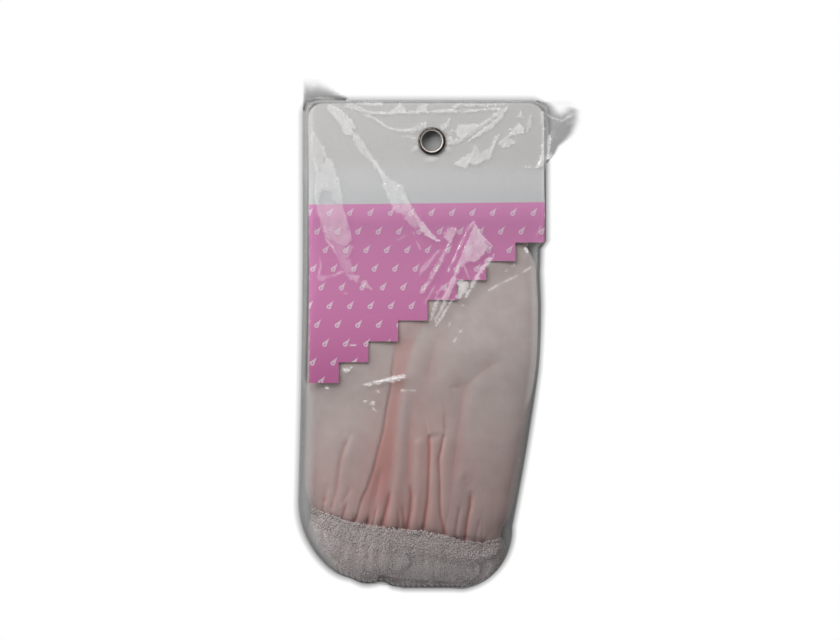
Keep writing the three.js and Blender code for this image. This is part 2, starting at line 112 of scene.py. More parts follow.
# Folds of the cap's front: kind, height, width, fade in, fade out, and the line that the fold follows.
FOLDS = [
    ("lip", 0.8, 14.0, 18.0, 2.0, [(-14.5, 4.6), (-15.9, -6.9), (-17.2, -20.7), (-19.1, -29.9),
        (-20.5, -39.1), (-22.8, -48.3), (-25.1, -57.5), (-27.4, -64.4), (-30.6, -71.3), (-32.4, -78.2),
        (-33.8, -82.3)]),
    ("valley", 0.7, 0.6, 22.0, 1.0, [(-14.2, 4.6), (-15.6, -6.9), (-17.0, -20.7), (-18.8, -29.9),
        (-20.2, -39.1), (-22.5, -48.3), (-24.8, -57.5), (-27.1, -64.4), (-30.3, -71.3), (-32.2, -78.2),
        (-33.5, -82.3)]),
    ("ridge", 0.9, 4.0, 8.0, 8.0, [(5.8, 9.2), (-1.2, -2.3), (-5.8, -13.8), (-9.9, -22.1)]),
    ("valley", 0.8, 3.0, 6.0, 8.0, [(8.5, 7.4), (4.8, 3.7), (2.5, -2.3), (0.7, -10.6), (-0.7, -20.7)]),
    ("ridge", 1.3, 1.9, 9.0, 1.0, [(-9.9, -18.4), (-10.8, -25.3), (-11.7, -39.1), (-12.7, -57.5),
        (-14.5, -67.6), (-15.4, -76.8), (-15.9, -84.2)]),
    ("valley", 0.45, 2.2, 10.0, 6.0, [(-8.1, -25.3), (-8.5, -48.3), (-8.1, -64.4)]),
    ("valley", 1.6, 0.8, 8.0, 0.5, [(-16.8, -63.9), (-17.7, -71.3), (-19.6, -78.2), (-21.4, -83.7)]),
    ("valley", 1.0, 1.3, 8.0, 0.5, [(-20.9, -54.3), (-22.8, -65.8), (-25.1, -75.9), (-27.4, -83.3)]),
    ("valley", 1.5, 0.8, 8.0, 0.5, [(-8.1, -61.2), (-7.1, -69.0), (-7.6, -75.9), (-9.4, -85.1)]),
    ("valley", 1.1, 0.7, 6.0, 0.5, [(-11.7, -71.3), (-10.8, -78.2), (-10.3, -85.6)]),
    ("ridge", 0.8, 1.6, 3.0, 0.5, [(-3.5, -41.9), (-3.9, -50.6), (-4.4, -66.7), (-6.7, -85.1)]),
    ("lip", 0.8, 5.0, 1.0, 1.0, [(8.1, -40.0), (4.4, -40.2), (0.2, -40.9)]),
    ("valley", 1.3, 0.6, 2.0, 0.5, [(0.7, -40.5), (1.2, -48.3), (0.7, -62.1), (0.2, -71.3), (-1.6, -82.8),
        (-3.5, -86.9)]),
    ("valley", 1.3, 0.6, 2.0, 0.5, [(7.6, -40.5), (6.2, -48.3), (5.3, -52.0), (5.8, -62.1), (5.8, -71.3),
        (6.2, -78.2), (8.5, -87.9)]),
    ("ridge", 0.6, 1.3, 2.0, 0.5, [(3.5, -42.3), (3.0, -52.9), (3.0, -66.7), (2.5, -85.1)]),
    ("valley", 0.4, 1.2, 5.0, 1.0, [(7.6, -27.6), (8.1, -33.6), (8.1, -39.6)]),
    ("ridge", 1.2, 3.0, 10.0, 0.5, [(10.3, -36.8), (8.5, -52.9), (9.0, -71.3), (11.3, -88.8)]),
    ("valley", 1.0, 2.6, 12.0, 16.0, [(18.2, -15.2), (16.3, -25.3), (14.0, -39.1), (12.7, -48.3),
        (11.3, -59.8), (10.3, -73.6)]),
    ("ridge", 0.7, 2.2, 8.0, 0.5, [(15.9, -52.9), (14.5, -66.7), (14.0, -87.4)]),
    ("valley", 1.7, 0.8, 6.0, 0.5, [(20.0, -65.8), (19.6, -73.6), (18.2, -80.5), (16.8, -89.7)]),
    ("valley", 0.5, 1.4, 3.0, 3.0, [(15.4, -59.3), (17.7, -62.6), (20.0, -66.2)]),
    ("ridge", 0.8, 5.0, 12.0, 2.0, [(26.0, -62.1), (25.5, -80.5), (23.2, -89.7)]),
    ("valley", 1.5, 3.6, 6.0, 12.0, [(9.9, -19.6), (14.0, -19.3), (17.7, -18.6), (20.9, -15.6),
        (24.6, -12.0), (29.2, -9.2), (38.0, -6.0)]),
    ("valley", 0.45, 0.7, 2.0, 6.0, [(9.4, -19.6), (13.1, -19.5), (17.2, -18.9)]),
    ("ridge", 0.6, 2.0, 6.0, 6.0, [(-32.6, -39.0), (-34.4, -44.6), (-36.4, -50.6), (-37.8, -57.0)]),
    ("valley", 0.9, 1.0, 9.0, 1.0, [(-34.5, -38.0), (-36.3, -43.0), (-38.2, -47.5), (-39.8, -53.0),
        (-40.6, -58.5), (-41.4, -65.8), (-43.0, -71.3), (-44.4, -75.5)]),
    ("valley", 0.4, 3.5, 8.0, 10.0, [(-41.6, -21.6), (-40.2, -32.2), (-38.0, -42.8)]),
    ("valley", 1.0, 1.4, 5.0, 1.0, [(-44.9, -62.1), (-46.7, -67.6), (-48.1, -72.7)]),
    ("valley", 0.6, 0.8, 4.0, 1.0, [(-34.7, -63.9), (-37.0, -69.0), (-39.3, -72.7)]),
    ("valley", 1.1, 0.7, 4.0, 0.5, [(-32.0, -75.9), (-32.9, -79.6), (-34.3, -82.3)]),
    ("valley", 1.3, 0.7, 4.0, 0.5, [(-26.5, -77.3), (-27.4, -80.5), (-28.8, -84.2)]),
    ("valley", 0.9, 1.0, 4.0, 0.5, [(30.6, -83.3), (27.8, -87.4), (25.1, -91.5)]),
    ("valley", 1.0, 0.6, 5.0, 0.5, [(15.2, -72.0), (13.8, -80.0), (12.4, -89.5)]),
    ("valley", 0.9, 0.8, 5.0, 0.5, [(24.5, -78.0), (22.8, -85.0), (21.5, -92.0)]),
    ("valley", 1.0, 0.6, 4.0, 0.5, [(-36.5, -71.0), (-38.0, -76.0), (-39.5, -81.0)]),
    ("valley", 1.0, 0.6, 4.0, 0.5, [(-46.2, -68.0), (-47.6, -73.0), (-48.6, -78.0)]),
    ("valley", 1.0, 0.5, 4.0, 0.5, [(-22.6, -72.0), (-24.0, -78.0), (-25.2, -84.0)]),
    ("valley", 0.9, 0.5, 4.0, 0.5, [(-13.4, -74.0), (-13.0, -80.0), (-13.4, -85.6)]),
]

# Where the hem's gathers sink, across the front; the cap bulges in a roll between each two of them.
GATHERS = [-58.0, -51.3, -47.6, -43.9, -40.8, -38.0, -34.7, -28.3, -20.5, -9.0, -2.1, 7.1, 12.7, 16.5, 25.1,
           30.0, 37.0]
FOLD_SPREAD = 1.4
FOLD_SHARE = 0.62

# The right border of the peach strip beside the longest fold.
PEACH_RIGHT = [(-4.0, 4.0), (-5.6, 0.0), (-8.7, -11.5), (-10.6, -20.7), (-12.7, -34.5), (-14.3, -48.3),
               (-15.4, -57.5), (-16.8, -64.9), (-18.2, -73.6), (-20.5, -82.8)]

# Creases of the front film: height, width to each side, whitening that is partly painted glint, and the line
# that the crease follows.
CREASES = [
    (1.2, 0.9, 2.6, 0.5, [(-45.8, 113.6), (-38.9, 104.4), (-34.3, 98.4), (-30.1, 91.5), (-24.6, 84.6),
        (-19.6, 76.8), (-13.6, 69.9), (-8.1, 62.1), (-1.6, 54.7), (4.8, 48.3)]),
    (0.8, 1.2, 1.8, 0.45, [(-20.0, 75.0), (-15.9, 68.5), (-11.7, 62.1), (-6.7, 56.6)]),
    (0.7, 1.4, 1.2, 0.45, [(-13.6, 74.1), (-9.9, 67.6), (-6.7, 61.2)]),
    (0.8, 1.6, 1.8, 0.3, [(-53.1, 98.9), (-49.5, 93.4), (-47.1, 86.9), (-43.5, 82.3), (-41.2, 75.0),
        (-38.9, 64.9), (-37.5, 57.5), (-34.7, 48.3)]),
    (0.6, 1.2, 1.4, 0.3, [(-52.2, 89.7), (-50.8, 79.6), (-51.3, 66.7), (-49.0, 57.5), (-46.7, 49.2),
        (-41.6, 40.9)]),
    (0.5, 0.8, 0.9, 0.5, [(-47.1, 49.2), (-43.9, 45.5), (-40.2, 39.6)]),
    (0.5, 1.0, 1.2, 0.4, [(-40.2, 110.9), (-30.1, 108.1), (-21.9, 107.0), (0.2, 107.8), (15.0, 108.1),
        (35.6, 109.5)]),
    (0.7, 1.0, 1.2, 0.45, [(-29.2, 106.0), (-23.7, 104.0), (-17.7, 100.1), (-10.8, 99.1), (-4.4, 99.4)]),
    (0.4, 2.0, 1.6, 0.0, [(-34.7, 106.7), (-25.5, 99.8), (-15.0, 95.7), (-4.4, 90.6)]),
    (0.75, 1.4, 1.2, 0.45, [(9.9, 92.5), (16.8, 95.7), (24.2, 101.2), (32.9, 107.6), (37.0, 109.9)]),
    (0.5, 1.0, 1.0, 0.45, [(18.6, 94.3), (24.2, 98.0), (29.7, 102.1), (35.6, 107.2)]),
    (0.5, 1.4, 1.0, 0.3, [(22.3, 92.9), (20.9, 86.9), (17.7, 81.9)]),
    (0.5, 1.2, 1.2, 0.4, [(32.4, 96.6), (30.1, 90.6), (28.8, 85.1)]),
    (0.5, 1.2, 1.2, 0.4, [(42.6, 102.6), (37.5, 96.6), (32.4, 92.5)]),
    (0.35, 0.8, 0.8, 0.35, [(37.0, 95.7), (39.8, 93.8), (42.1, 92.5)]),
    (0.4, 1.0, 1.0, 0.3, [(48.1, 107.2), (46.7, 101.7), (45.8, 98.4)]),
    (0.8, 1.4, 1.4, 0.4, [(53.1, 108.1), (53.6, 102.6), (54.5, 98.0), (53.6, 91.5), (54.1, 86.0),
        (50.8, 81.9)]),
    (0.3, 0.7, 0.7, 0.0, [(5.8, 81.4), (9.4, 78.7), (13.6, 75.4)]),
    (0.85, 0.7, 2.2, 0.45, [(21.9, 57.5), (18.2, 51.1), (15.0, 45.1), (12.2, 39.1), (9.0, 33.1)]),
    (0.6, 0.6, 0.9, 0.4, [(19.6, 55.7), (16.3, 49.2), (14.0, 43.7)]),
    (0.6, 0.7, 0.8, 0.5, [(7.1, 50.6), (9.4, 53.4), (13.1, 53.4), (12.7, 51.1), (9.0, 44.6), (5.8, 40.0),
        (2.5, 34.5), (-1.2, 27.6), (-3.5, 23.5)]),
    (0.5, 0.6, 0.8, 0.35, [(5.8, 43.7), (1.2, 37.7), (-3.9, 31.3)]),
    (0.5, 0.6, 0.8, 0.35, [(4.4, 28.5), (1.2, 23.5), (-1.6, 18.4)]),
    (0.9, 1.2, 1.6, 0.55, [(22.3, 55.7), (25.1, 50.1), (29.7, 45.1), (32.0, 43.9)]),
    (0.7, 1.4, 1.2, 0.4, [(17.7, 45.5), (15.0, 38.2), (11.3, 27.6), (7.6, 19.8)]),
    (0.6, 0.9, 1.2, 0.45, [(30.6, 41.4), (25.1, 33.6), (19.6, 25.3), (16.8, 21.2)]),
    (0.5, 1.4, 1.0, 0.3, [(15.9, 38.2), (18.6, 32.2), (19.6, 29.4)]),
    (0.45, 0.6, 0.7, 0.55, [(48.5, 36.3), (40.2, 31.3), (33.4, 28.1), (27.4, 24.8)]),
    (0.35, 0.5, 0.6, 0.4, [(40.7, 37.3), (38.0, 35.0), (35.2, 33.1)]),
    (0.35, 0.5, 0.6, 0.25, [(52.7, 56.6), (50.4, 50.6), (47.6, 44.6)]),
    (0.5, 0.6, 0.7, 0.4, [(4.4, 20.7), (2.5, 15.2), (1.2, 11.0)]),
    (0.5, 0.7, 0.8, 0.45, [(9.0, 20.7), (6.7, 16.6), (3.0, 11.0)]),
    (0.5, 0.6, 0.7, 0.5, [(11.7, 20.7), (7.6, 14.3), (3.5, 8.3)]),
    (0.35, 0.5, 0.6, 0.5, [(15.9, 7.4), (13.1, 3.2), (11.7, 0.9)]),
    (0.35, 0.5, 0.6, 0.5, [(10.8, 11.0), (9.0, 7.8)]),
    (0.3, 0.5, 0.5, 0.45, [(14.5, 18.2), (17.2, 18.2)]),
    (0.75, 1.0, 1.0, 0.7, [(-26.0, -17.2), (-19.1, -16.1), (-14.5, -15.0), (-9.4, -14.5)]),
    (0.35, 0.5, 0.6, 0.5, [(-24.2, -20.7), (-21.4, -21.4)]),
    (0.35, 0.5, 0.6, 0.45, [(-12.7, -20.5), (-4.8, -20.6)]),
    (0.4, 0.7, 0.7, 0.5, [(-29.7, -25.8), (-26.9, -25.3)]),
    (0.4, 0.8, 0.8, 0.55, [(-26.0, -26.7), (-24.2, -25.5)]),
    (0.4, 0.8, 0.8, 0.55, [(-24.8, -28.1), (-23.7, -30.1)]),
    (0.4, 0.8, 0.8, 0.5, [(-38.9, -12.0), (-36.6, -11.5), (-34.7, -10.6)]),
    (0.35, 0.6, 0.6, 0.5, [(-47.1, -19.3), (-44.4, -19.8)]),
    (0.35, 0.6, 0.6, 0.5, [(-40.7, -20.2), (-39.3, -21.4)]),
    (0.4, 0.8, 0.8, 0.4, [(-36.1, -0.2), (-32.0, 0.0)]),
    (0.3, 0.6, 0.6, 0.3, [(-50.4, 0.0), (-49.0, 0.0)]),
    (0.4, 0.8, 0.9, 0.3, [(-33.4, 31.7), (-29.7, 28.1), (-25.1, 25.3)]),
    (0.3, 0.6, 0.6, 0.3, [(-49.9, 40.9), (-49.0, 36.3), (-50.4, 30.4)]),
    (0.3, 0.6, 0.6, 0.3, [(-38.9, 23.5), (-36.1, 23.9)]),
    (0.4, 0.7, 0.8, 0.3, [(-6.7, 52.4), (-4.8, 47.8), (-3.0, 42.8)]),
    (0.4, 0.9, 0.9, 0.3, [(-15.4, 46.9), (-12.2, 49.2), (-9.4, 50.6)]),
]

# Milky facets where the front film is crumpled, partly painted glint: how white, and the facet's outline.
GLINT_VEILS = [
    (0.36, [(-46.2, 114.1), (-44.4, 111.8), (-39.8, 109.0), (-37.0, 106.3), (-34.3, 103.0), (-32.4, 99.8),
        (-34.7, 99.8), (-35.2, 97.1), (-38.4, 97.5), (-40.7, 102.6), (-43.5, 105.8), (-45.8, 109.0)]),
    (0.25, [(-35.2, 97.5), (-32.4, 98.0), (-30.1, 94.8), (-28.3, 91.5), (-26.0, 88.8), (-23.7, 85.1),
        (-22.3, 82.3), (-24.2, 81.4), (-26.9, 85.6), (-28.8, 86.9), (-30.6, 88.8), (-32.9, 91.5),
        (-34.7, 94.8)]),
    (0.24, [(-24.2, 82.8), (-22.3, 82.8), (-19.1, 78.7), (-16.3, 75.9), (-20.0, 75.0), (-21.9, 78.2)]),
    (0.24, [(-21.4, 74.5), (-16.8, 75.9), (-11.7, 74.1), (-9.9, 69.5), (-7.6, 64.4), (-6.2, 60.7),
        (-8.5, 57.5), (-11.7, 60.3), (-14.5, 60.7), (-17.2, 65.3), (-19.1, 69.9)]),
    (0.20, [(-10.8, 63.9), (-7.1, 63.9), (-3.0, 58.0), (-5.3, 53.4), (-8.5, 55.7), (-11.3, 59.8)]),
    (0.33, [(-5.3, 58.9), (-1.6, 55.7), (2.1, 51.5), (4.4, 48.5), (6.7, 48.3), (4.4, 47.6), (0.2, 49.7),
        (-3.9, 53.4)]),
    (0.19, [(-53.6, 100.3), (-51.3, 96.6), (-49.5, 94.3), (-47.6, 90.6), (-47.1, 87.4), (-49.5, 82.8),
        (-51.3, 78.2), (-52.7, 85.1), (-53.6, 93.4)]),
    (0.20, [(-46.7, 86.9), (-44.9, 86.0), (-43.0, 82.3), (-41.6, 78.2), (-39.8, 71.3), (-38.9, 65.3),
        (-43.0, 64.9), (-44.9, 71.3), (-48.5, 71.3), (-50.8, 64.9), (-51.8, 68.5), (-50.8, 76.8),
        (-49.0, 82.3)]),
    (0.20, [(-50.8, 64.9), (-38.9, 65.3), (-38.9, 60.3), (-37.0, 57.0), (-36.6, 52.0), (-34.7, 48.3),
        (-37.5, 45.1), (-42.1, 46.9), (-46.7, 49.2), (-48.1, 53.8), (-49.0, 57.5), (-50.8, 61.6)]),
    (0.11, [(-46.7, 49.2), (-37.5, 45.1), (-33.8, 46.0), (-36.1, 40.0), (-38.9, 38.2), (-42.1, 42.8)]),
    (0.12, [(-41.2, 40.0), (-35.6, 39.1), (-32.9, 33.1), (-38.0, 33.1), (-40.2, 36.3)]),
    (0.17, [(-37.5, 32.2), (-34.7, 32.7), (-31.1, 31.7), (-32.4, 28.5), (-35.6, 30.4)]),
    (0.17, [(-43.9, 32.2), (-40.2, 34.0), (-35.6, 35.0), (-34.7, 33.8), (-40.2, 32.7), (-43.5, 31.3)]),
    (0.19, [(-30.6, 29.4), (-28.3, 29.9), (-27.4, 28.1), (-25.1, 25.8), (-28.3, 26.2), (-31.1, 27.1)]),
    (0.12, [(-50.8, 31.3), (-47.6, 32.2), (-44.9, 31.3), (-48.1, 29.4), (-50.4, 29.0)]),
    (0.26, [(-40.2, 112.2), (-34.7, 111.8), (-29.2, 109.0), (-25.5, 107.2), (-31.1, 107.2),
        (-35.6, 109.0)]),
    (0.3, [(-33.8, 112.0), (-23.2, 112.2), (-20.0, 111.6), (-20.5, 110.2), (-22.8, 110.4), (-30.1, 111.1)]),
    (0.36, [(-17.7, 107.4), (-15.0, 109.9), (-12.7, 112.0), (-10.3, 109.9), (-9.4, 107.2)]),
    (0.36, [(-5.8, 107.4), (-3.5, 110.9), (0.0, 111.3), (0.0, 107.6)]),
    (0.42, [(-29.2, 107.6), (-21.9, 107.4), (-10.3, 107.6), (0.2, 108.1), (0.2, 107.5), (-10.3, 106.9),
        (-22.8, 106.6), (-27.4, 106.8)]),
    (0.24, [(-29.2, 106.3), (-25.5, 105.8), (-21.9, 103.5), (-18.2, 100.7), (-15.4, 100.3), (-10.8, 99.8),
        (-6.7, 100.7), (-4.4, 99.8), (-6.2, 98.0), (-13.6, 98.4), (-17.7, 99.4), (-20.9, 101.4),
        (-24.6, 104.2)]),
    (0.17, [(-12.7, 96.4), (-8.5, 97.1), (-9.0, 95.7)]),
    (0.24, [(-7.6, 93.6), (-4.8, 94.8), (-4.8, 92.9)]),
    (0.42, [(-3.0, 102.4), (-0.2, 103.0), (-0.2, 100.3), (-1.6, 100.3)]),
    (0.36, [(2.5, 107.2), (4.4, 108.6), (13.6, 109.2), (13.1, 107.6)]),
    (0.38, [(14.5, 108.1), (24.2, 109.0), (34.7, 109.7), (34.3, 108.8), (24.2, 108.1), (15.4, 107.5)]),
    (0.3, [(11.3, 109.9), (12.7, 111.6), (15.9, 111.6), (13.6, 109.5)]),
    (0.3, [(15.9, 111.3), (35.6, 111.6), (35.6, 110.9), (25.1, 110.4), (16.8, 110.6)]),
    (0.4, [(32.4, 105.8), (34.3, 108.6), (37.5, 110.4), (37.0, 108.6), (34.3, 105.6)]),
    (0.3, [(9.9, 92.2), (13.1, 95.2), (16.3, 94.8), (23.2, 100.7), (32.9, 108.1), (33.8, 106.7),
        (25.1, 100.7), (17.7, 95.0), (13.1, 93.2)]),
    (0.34, [(18.6, 93.8), (23.2, 98.4), (29.7, 102.6), (34.7, 107.2), (35.6, 106.3), (30.6, 100.7),
        (23.2, 96.1)]),
    (0.36, [(12.7, 98.9), (15.0, 101.7), (22.8, 102.6), (23.7, 100.7), (19.6, 97.5), (16.3, 95.5),
        (13.6, 96.1)]),
    (0.26, [(6.7, 100.7), (8.5, 103.5), (10.8, 105.3), (10.3, 101.7), (7.6, 99.4)]),
    (0.3, [(8.1, 97.8), (11.7, 99.4), (10.8, 97.5)]),
    (0.36, [(8.5, 95.7), (11.3, 96.1), (12.7, 94.3), (9.9, 92.5), (8.1, 93.4)]),
    (0.3, [(20.5, 86.0), (22.3, 92.9), (24.2, 88.8), (28.8, 90.6), (31.1, 95.7), (32.9, 97.1), (32.0, 93.8),
        (29.7, 89.2), (28.8, 85.1), (26.0, 85.6), (23.2, 83.3), (20.0, 83.7)]),
    (0.3, [(11.3, 83.3), (15.0, 85.6), (20.9, 89.7), (21.9, 86.5), (18.6, 83.3), (17.7, 81.4),
        (15.4, 82.3)]),
    (0.38, [(32.4, 92.9), (36.1, 95.7), (38.9, 95.2), (40.7, 93.4), (35.6, 91.1)]),
    (0.46, [(36.6, 96.1), (39.3, 98.9), (42.6, 102.6), (44.4, 100.7), (44.4, 98.0), (38.9, 96.6)]),
    (0.42, [(41.6, 105.3), (43.2, 108.1), (44.2, 105.3)]),
    (0.4, [(37.5, 99.6), (39.1, 100.7), (38.6, 99.1)]),
    (0.2, [(45.8, 98.9), (46.7, 103.5), (48.1, 107.2), (48.1, 101.2), (46.7, 98.4)]),
    (0.4, [(45.3, 82.3), (48.1, 82.3), (47.1, 81.7)]),
    (0.42, [(53.0, 108.4), (54.0, 107.8), (54.3, 106.7), (54.6, 105.2), (54.0, 104.4), (53.1, 104.9),
        (52.7, 106.7)]),
    (0.42, [(53.1, 102.9), (54.0, 101.2), (55.2, 99.8), (54.6, 98.6), (54.9, 96.9), (53.7, 98.3),
        (53.4, 100.6)]),
    (0.44, [(56.6, 97.2), (57.5, 94.9), (57.0, 93.7), (56.6, 92.0), (56.9, 89.7), (58.6, 88.0),
        (57.2, 86.3), (53.7, 84.0), (53.4, 86.3), (53.7, 88.6), (53.1, 92.0), (54.3, 94.3), (55.4, 95.5)]),
    (0.4, [(52.9, 89.1), (53.4, 87.4), (53.4, 84.5), (53.7, 82.8), (51.7, 81.7), (49.7, 81.7), (51.1, 84.0),
        (52.0, 86.8)]),
    (0.28, [(21.9, 56.1), (26.0, 49.7), (28.3, 45.5), (25.1, 40.9), (21.9, 38.2), (19.6, 38.6),
        (16.8, 37.3), (15.0, 35.4), (13.1, 29.9), (11.3, 24.4), (9.0, 20.7), (6.2, 20.7), (9.4, 27.6),
        (12.7, 34.5), (15.0, 40.0), (17.7, 46.0), (19.6, 51.1)]),
    (0.36, [(20.0, 50.1), (22.3, 52.4), (26.0, 48.3), (27.4, 45.5), (23.2, 41.9), (20.0, 39.1),
        (17.7, 40.5), (20.0, 44.6)]),
    (0.33, [(30.6, 41.6), (29.2, 39.1), (25.1, 33.1), (20.5, 26.2), (18.2, 22.1), (16.3, 21.2), (19.6, 27.1),
        (24.2, 35.4), (27.4, 40.0)]),
    (0.38, [(13.6, 29.0), (15.9, 29.9), (18.6, 29.0), (18.2, 24.8), (14.5, 21.2), (12.7, 22.1),
        (14.5, 25.3)]),
    (0.25, [(7.1, 50.1), (9.4, 53.4), (13.1, 53.4), (12.7, 51.1), (9.9, 46.9), (9.0, 48.3)]),
    (0.23, [(9.0, 45.1), (10.8, 46.9), (7.1, 39.1), (2.5, 30.8), (-1.6, 24.4), (-3.9, 22.5), (-0.2, 29.4),
        (4.8, 38.2)]),
    (0.16, [(3.9, 43.2), (5.8, 43.7), (1.2, 37.3), (-3.5, 31.3), (-3.5, 34.5)]),
    (0.20, [(6.2, 27.1), (7.6, 29.0), (4.8, 22.5), (3.0, 20.7), (3.9, 23.9)]),
    (0.5, [(44.4, 45.5), (46.7, 43.7), (46.2, 40.9), (44.4, 43.7)]),
    (0.28, [(3.9, 20.7), (5.8, 21.6), (3.0, 13.8), (1.2, 10.6), (2.1, 16.1)]),
    (0.30, [(7.6, 21.2), (9.0, 21.2), (7.1, 17.0), (3.5, 10.6), (3.0, 11.5), (6.2, 17.9)]),
    (0.33, [(10.8, 20.7), (11.7, 20.7), (7.6, 13.8), (3.9, 8.3), (3.5, 8.7), (7.1, 15.2)]),
    (0.5, [(-26.0, -17.0), (-22.8, -17.9), (-19.1, -16.7), (-15.4, -15.7), (-11.7, -15.3), (-9.4, -14.6),
        (-11.7, -13.8), (-15.0, -14.7), (-18.6, -15.2), (-22.3, -16.6)]),
    (0.45, [(-29.6, -18.0), (-27.0, -16.8), (-24.4, -17.6), (-26.5, -18.7)]),
    (0.45, [(-18.5, -14.6), (-12.0, -13.2), (-9.0, -13.9), (-13.0, -16.1), (-17.5, -16.6)]),
    (0.5, [(-38.6, -11.4), (-36.8, -10.4), (-34.4, -10.0), (-35.6, -11.6), (-37.6, -12.2)]),
    (0.5, [(-26.6, -27.0), (-25.2, -25.2), (-23.6, -25.0), (-24.4, -26.6)]),
    (0.5, [(-25.2, -28.0), (-24.0, -28.6), (-23.2, -30.2), (-24.6, -30.0)]),
]


def mix(a, b, share):
    return a + (b - a) * share


def ease(value, start, end):
    share = np.clip((value - start) / (end - start), 0.0, 1.0)
    return share * share * (3 - 2 * share)


def soft_min(first, second, reach):
    """The lower of two heights, with a rounded change from one to the other."""
    share = np.clip(0.5 + 0.5 * (second - first) / reach, 0, 1)
    return mix(second, first, share) - reach * share * (1 - share)


def noise(x, y, scale, seed):
    """Smooth seeded noise from -1 to 1 with bumps of about that scale."""
    table = np.random.default_rng(seed).uniform(-1, 1, (64, 64))
    gx, gy = x / scale + 640.0, y / scale + 640.0
    ix, iy = np.floor(gx).astype(int), np.floor(gy).astype(int)
    fx, fy = ease(gx - ix, 0, 1), ease(gy - iy, 0, 1)
    ix, iy, jx, jy = ix % 64, iy % 64, (ix + 1) % 64, (iy + 1) % 64
    return mix(mix(table[ix, iy], table[jx, iy], fx), mix(table[ix, jy], table[jx, jy], fx), fy)


def along_line(x, y, line):
    """Distance to a line of points, positive to the left of its run, with the run so far and its length."""
    nearest = np.full(np.shape(x), 1e9)
    side = np.ones(np.shape(x))
    run = np.zeros(np.shape(x))
    length = 0.0
    for (ax, ay), (bx, by) in zip(line[:-1], line[1:]):
        step = math.hypot(bx - ax, by - ay)
        ux, uy = (bx - ax) / step, (by - ay) / step
        part = np.clip((x - ax) * ux + (y - ay) * uy, 0, step)
        gap = np.hypot(x - ax - part * ux, y - ay - part * uy)
        closer = gap < nearest
        nearest = np.where(closer, gap, nearest)
        side = np.where(closer, np.where(ux * (y - ay) - uy * (x - ax) > 0, 1.0, -1.0), side)
        run = np.where(closer, length + part, run)
        length += step
    return nearest * side, run, length


def inside_gap(x, y, outline):
    """Distance to a closed outline, positive inside it."""
    gap = np.abs(along_line(x, y, outline + outline[:1])[0])
    inside = np.zeros(np.shape(x), bool)
    for (ax, ay), (bx, by) in zip(outline, outline[1:] + outline[:1]):
        spans = (ay > y) != (by > y)
        slope = (bx - ax) / (by - ay) if by != ay else 0.0
        inside ^= spans & (x < ax + slope * (y - ay))
    return np.where(inside, gap, -gap)


def hollow(y):
    """Room inside the folded cap at a station along it."""
    body = mix(1.6, 13.5, ease(y, CROWN, FULLEST))
    drawn = mix(body, 12.5, ease(y, FULLEST, HEM))
    return mix(drawn, 9.0, ease(y, HEM, BAG_END))


def cap_front(y):
    return CAP_BASE + 4.4 + hollow(y)


def card_height(y):
    """Height of the card's underside: on the cap's front, then down to the flat header."""
    on_cap = cap_front(np.minimum(y, CROWN)) + 0.8
    return np.where(y <= CROWN, on_cap, mix(on_cap, 2.1, ease(y, CROWN, CARD_FLAT_END)))


def corner_inset(depth, radius):
    """How far a rounded corner draws the side in, at a depth from its end."""
    short = radius - np.clip(depth, 0, radius)
    return radius - np.sqrt(radius ** 2 - short ** 2)


def bag_sides(y):
    """Left and right edge of the bag at a station along it."""
    share = np.clip((CARD_SHORT_END - y) / (CARD_SHORT_END - HEM), 0, 1) ** 1.6
    top = corner_inset(BAG_TOP - y, CARD_CORNER)
    pinch = PINCH * ease(y, CARD_SHORT_END + 1.0, CARD_SHORT_END - 3.0) * ease(y, -12.0, 34.0)
    pinch = pinch + PINCH_ABOVE * ease(y, 18.0, 34.0)
    left = mix(-CARD_HALF, HEM_LEFT, share) - LEFT_MARGIN + top + corner_inset(y - BAG_END, LEFT_CORNER)
    right = mix(CARD_HALF, HEM_RIGHT, share) + RIGHT_MARGIN - top - pinch
    right = right - corner_inset(y - BAG_END, RIGHT_CORNER)
    return left, right


def end_lift(x, y):
    """How far a place near the bag's bottom edge is drawn up."""
    points = np.array(END_LIFT)
    return np.interp(x, points[:, 0], points[:, 1]) * ease(y, BAG_END + END_REACH, BAG_END)


def hem_y(x):
    points = np.array(HEM_LINE)
    return np.interp(x, points[:, 0], points[:, 1])


def cap_sides(y, inset=0.0):
    """Left and right edge of the cap, with its round shoulder and the waist at its hem."""
    left, right = bag_sides(y)
    shoulder = corner_inset(CROWN - y, 26.0)
    waist_left = 3.6 * np.where(y > -77.0, np.exp(-((y + 77.0) / 8.0) ** 2), 1.0)
    waist_right = 4.2 * np.where(y > -89.0, np.exp(-((y + 89.0) / 9.0) ** 2), 1.0)
    return left + 2.9 + shoulder + waist_left + inset, right - 1.4 - shoulder - waist_right - inset


def cap_section(y, inset=0.0):
    """Middle height of the cap and how far its front and back stand from it."""
    thick = 4.4 + hollow(y)
    close = np.sqrt(1 - (1 - np.clip((CROWN + 0.01 - inset - y) / 12.0, 0, 1)) ** 2)
    return CAP_BASE + 0.35 * thick, (0.65 * thick - inset) * close, (0.35 * thick - inset) * close


def gather_rolls(x, above):
    """Round rolls between the gathers, highest at the hem and gone a few centimetres up the cap."""
    lean = 0.2 * ease(x, -44.0, -30.0) * ease(x, 30.0, 14.0)
    at = np.interp(x - lean * np.clip(above, 0, 40), GATHERS, np.arange(len(GATHERS)))
    spacing = np.diff(GATHERS)[np.clip(np.floor(at).astype(int), 0, len(GATHERS) - 2)]
    part = at - np.floor(at)
    height = np.clip(0.12 * spacing, 0.35, 1.0)
    fall = np.exp(-np.clip(above, 0, 99) / (4.0 + 0.8 * spacing)) * ease(above, -10.0, -2.0)
    return height * fall * (np.sqrt(np.clip(1 - (2 * part - 1) ** 2, 0, 1)) - 0.65)


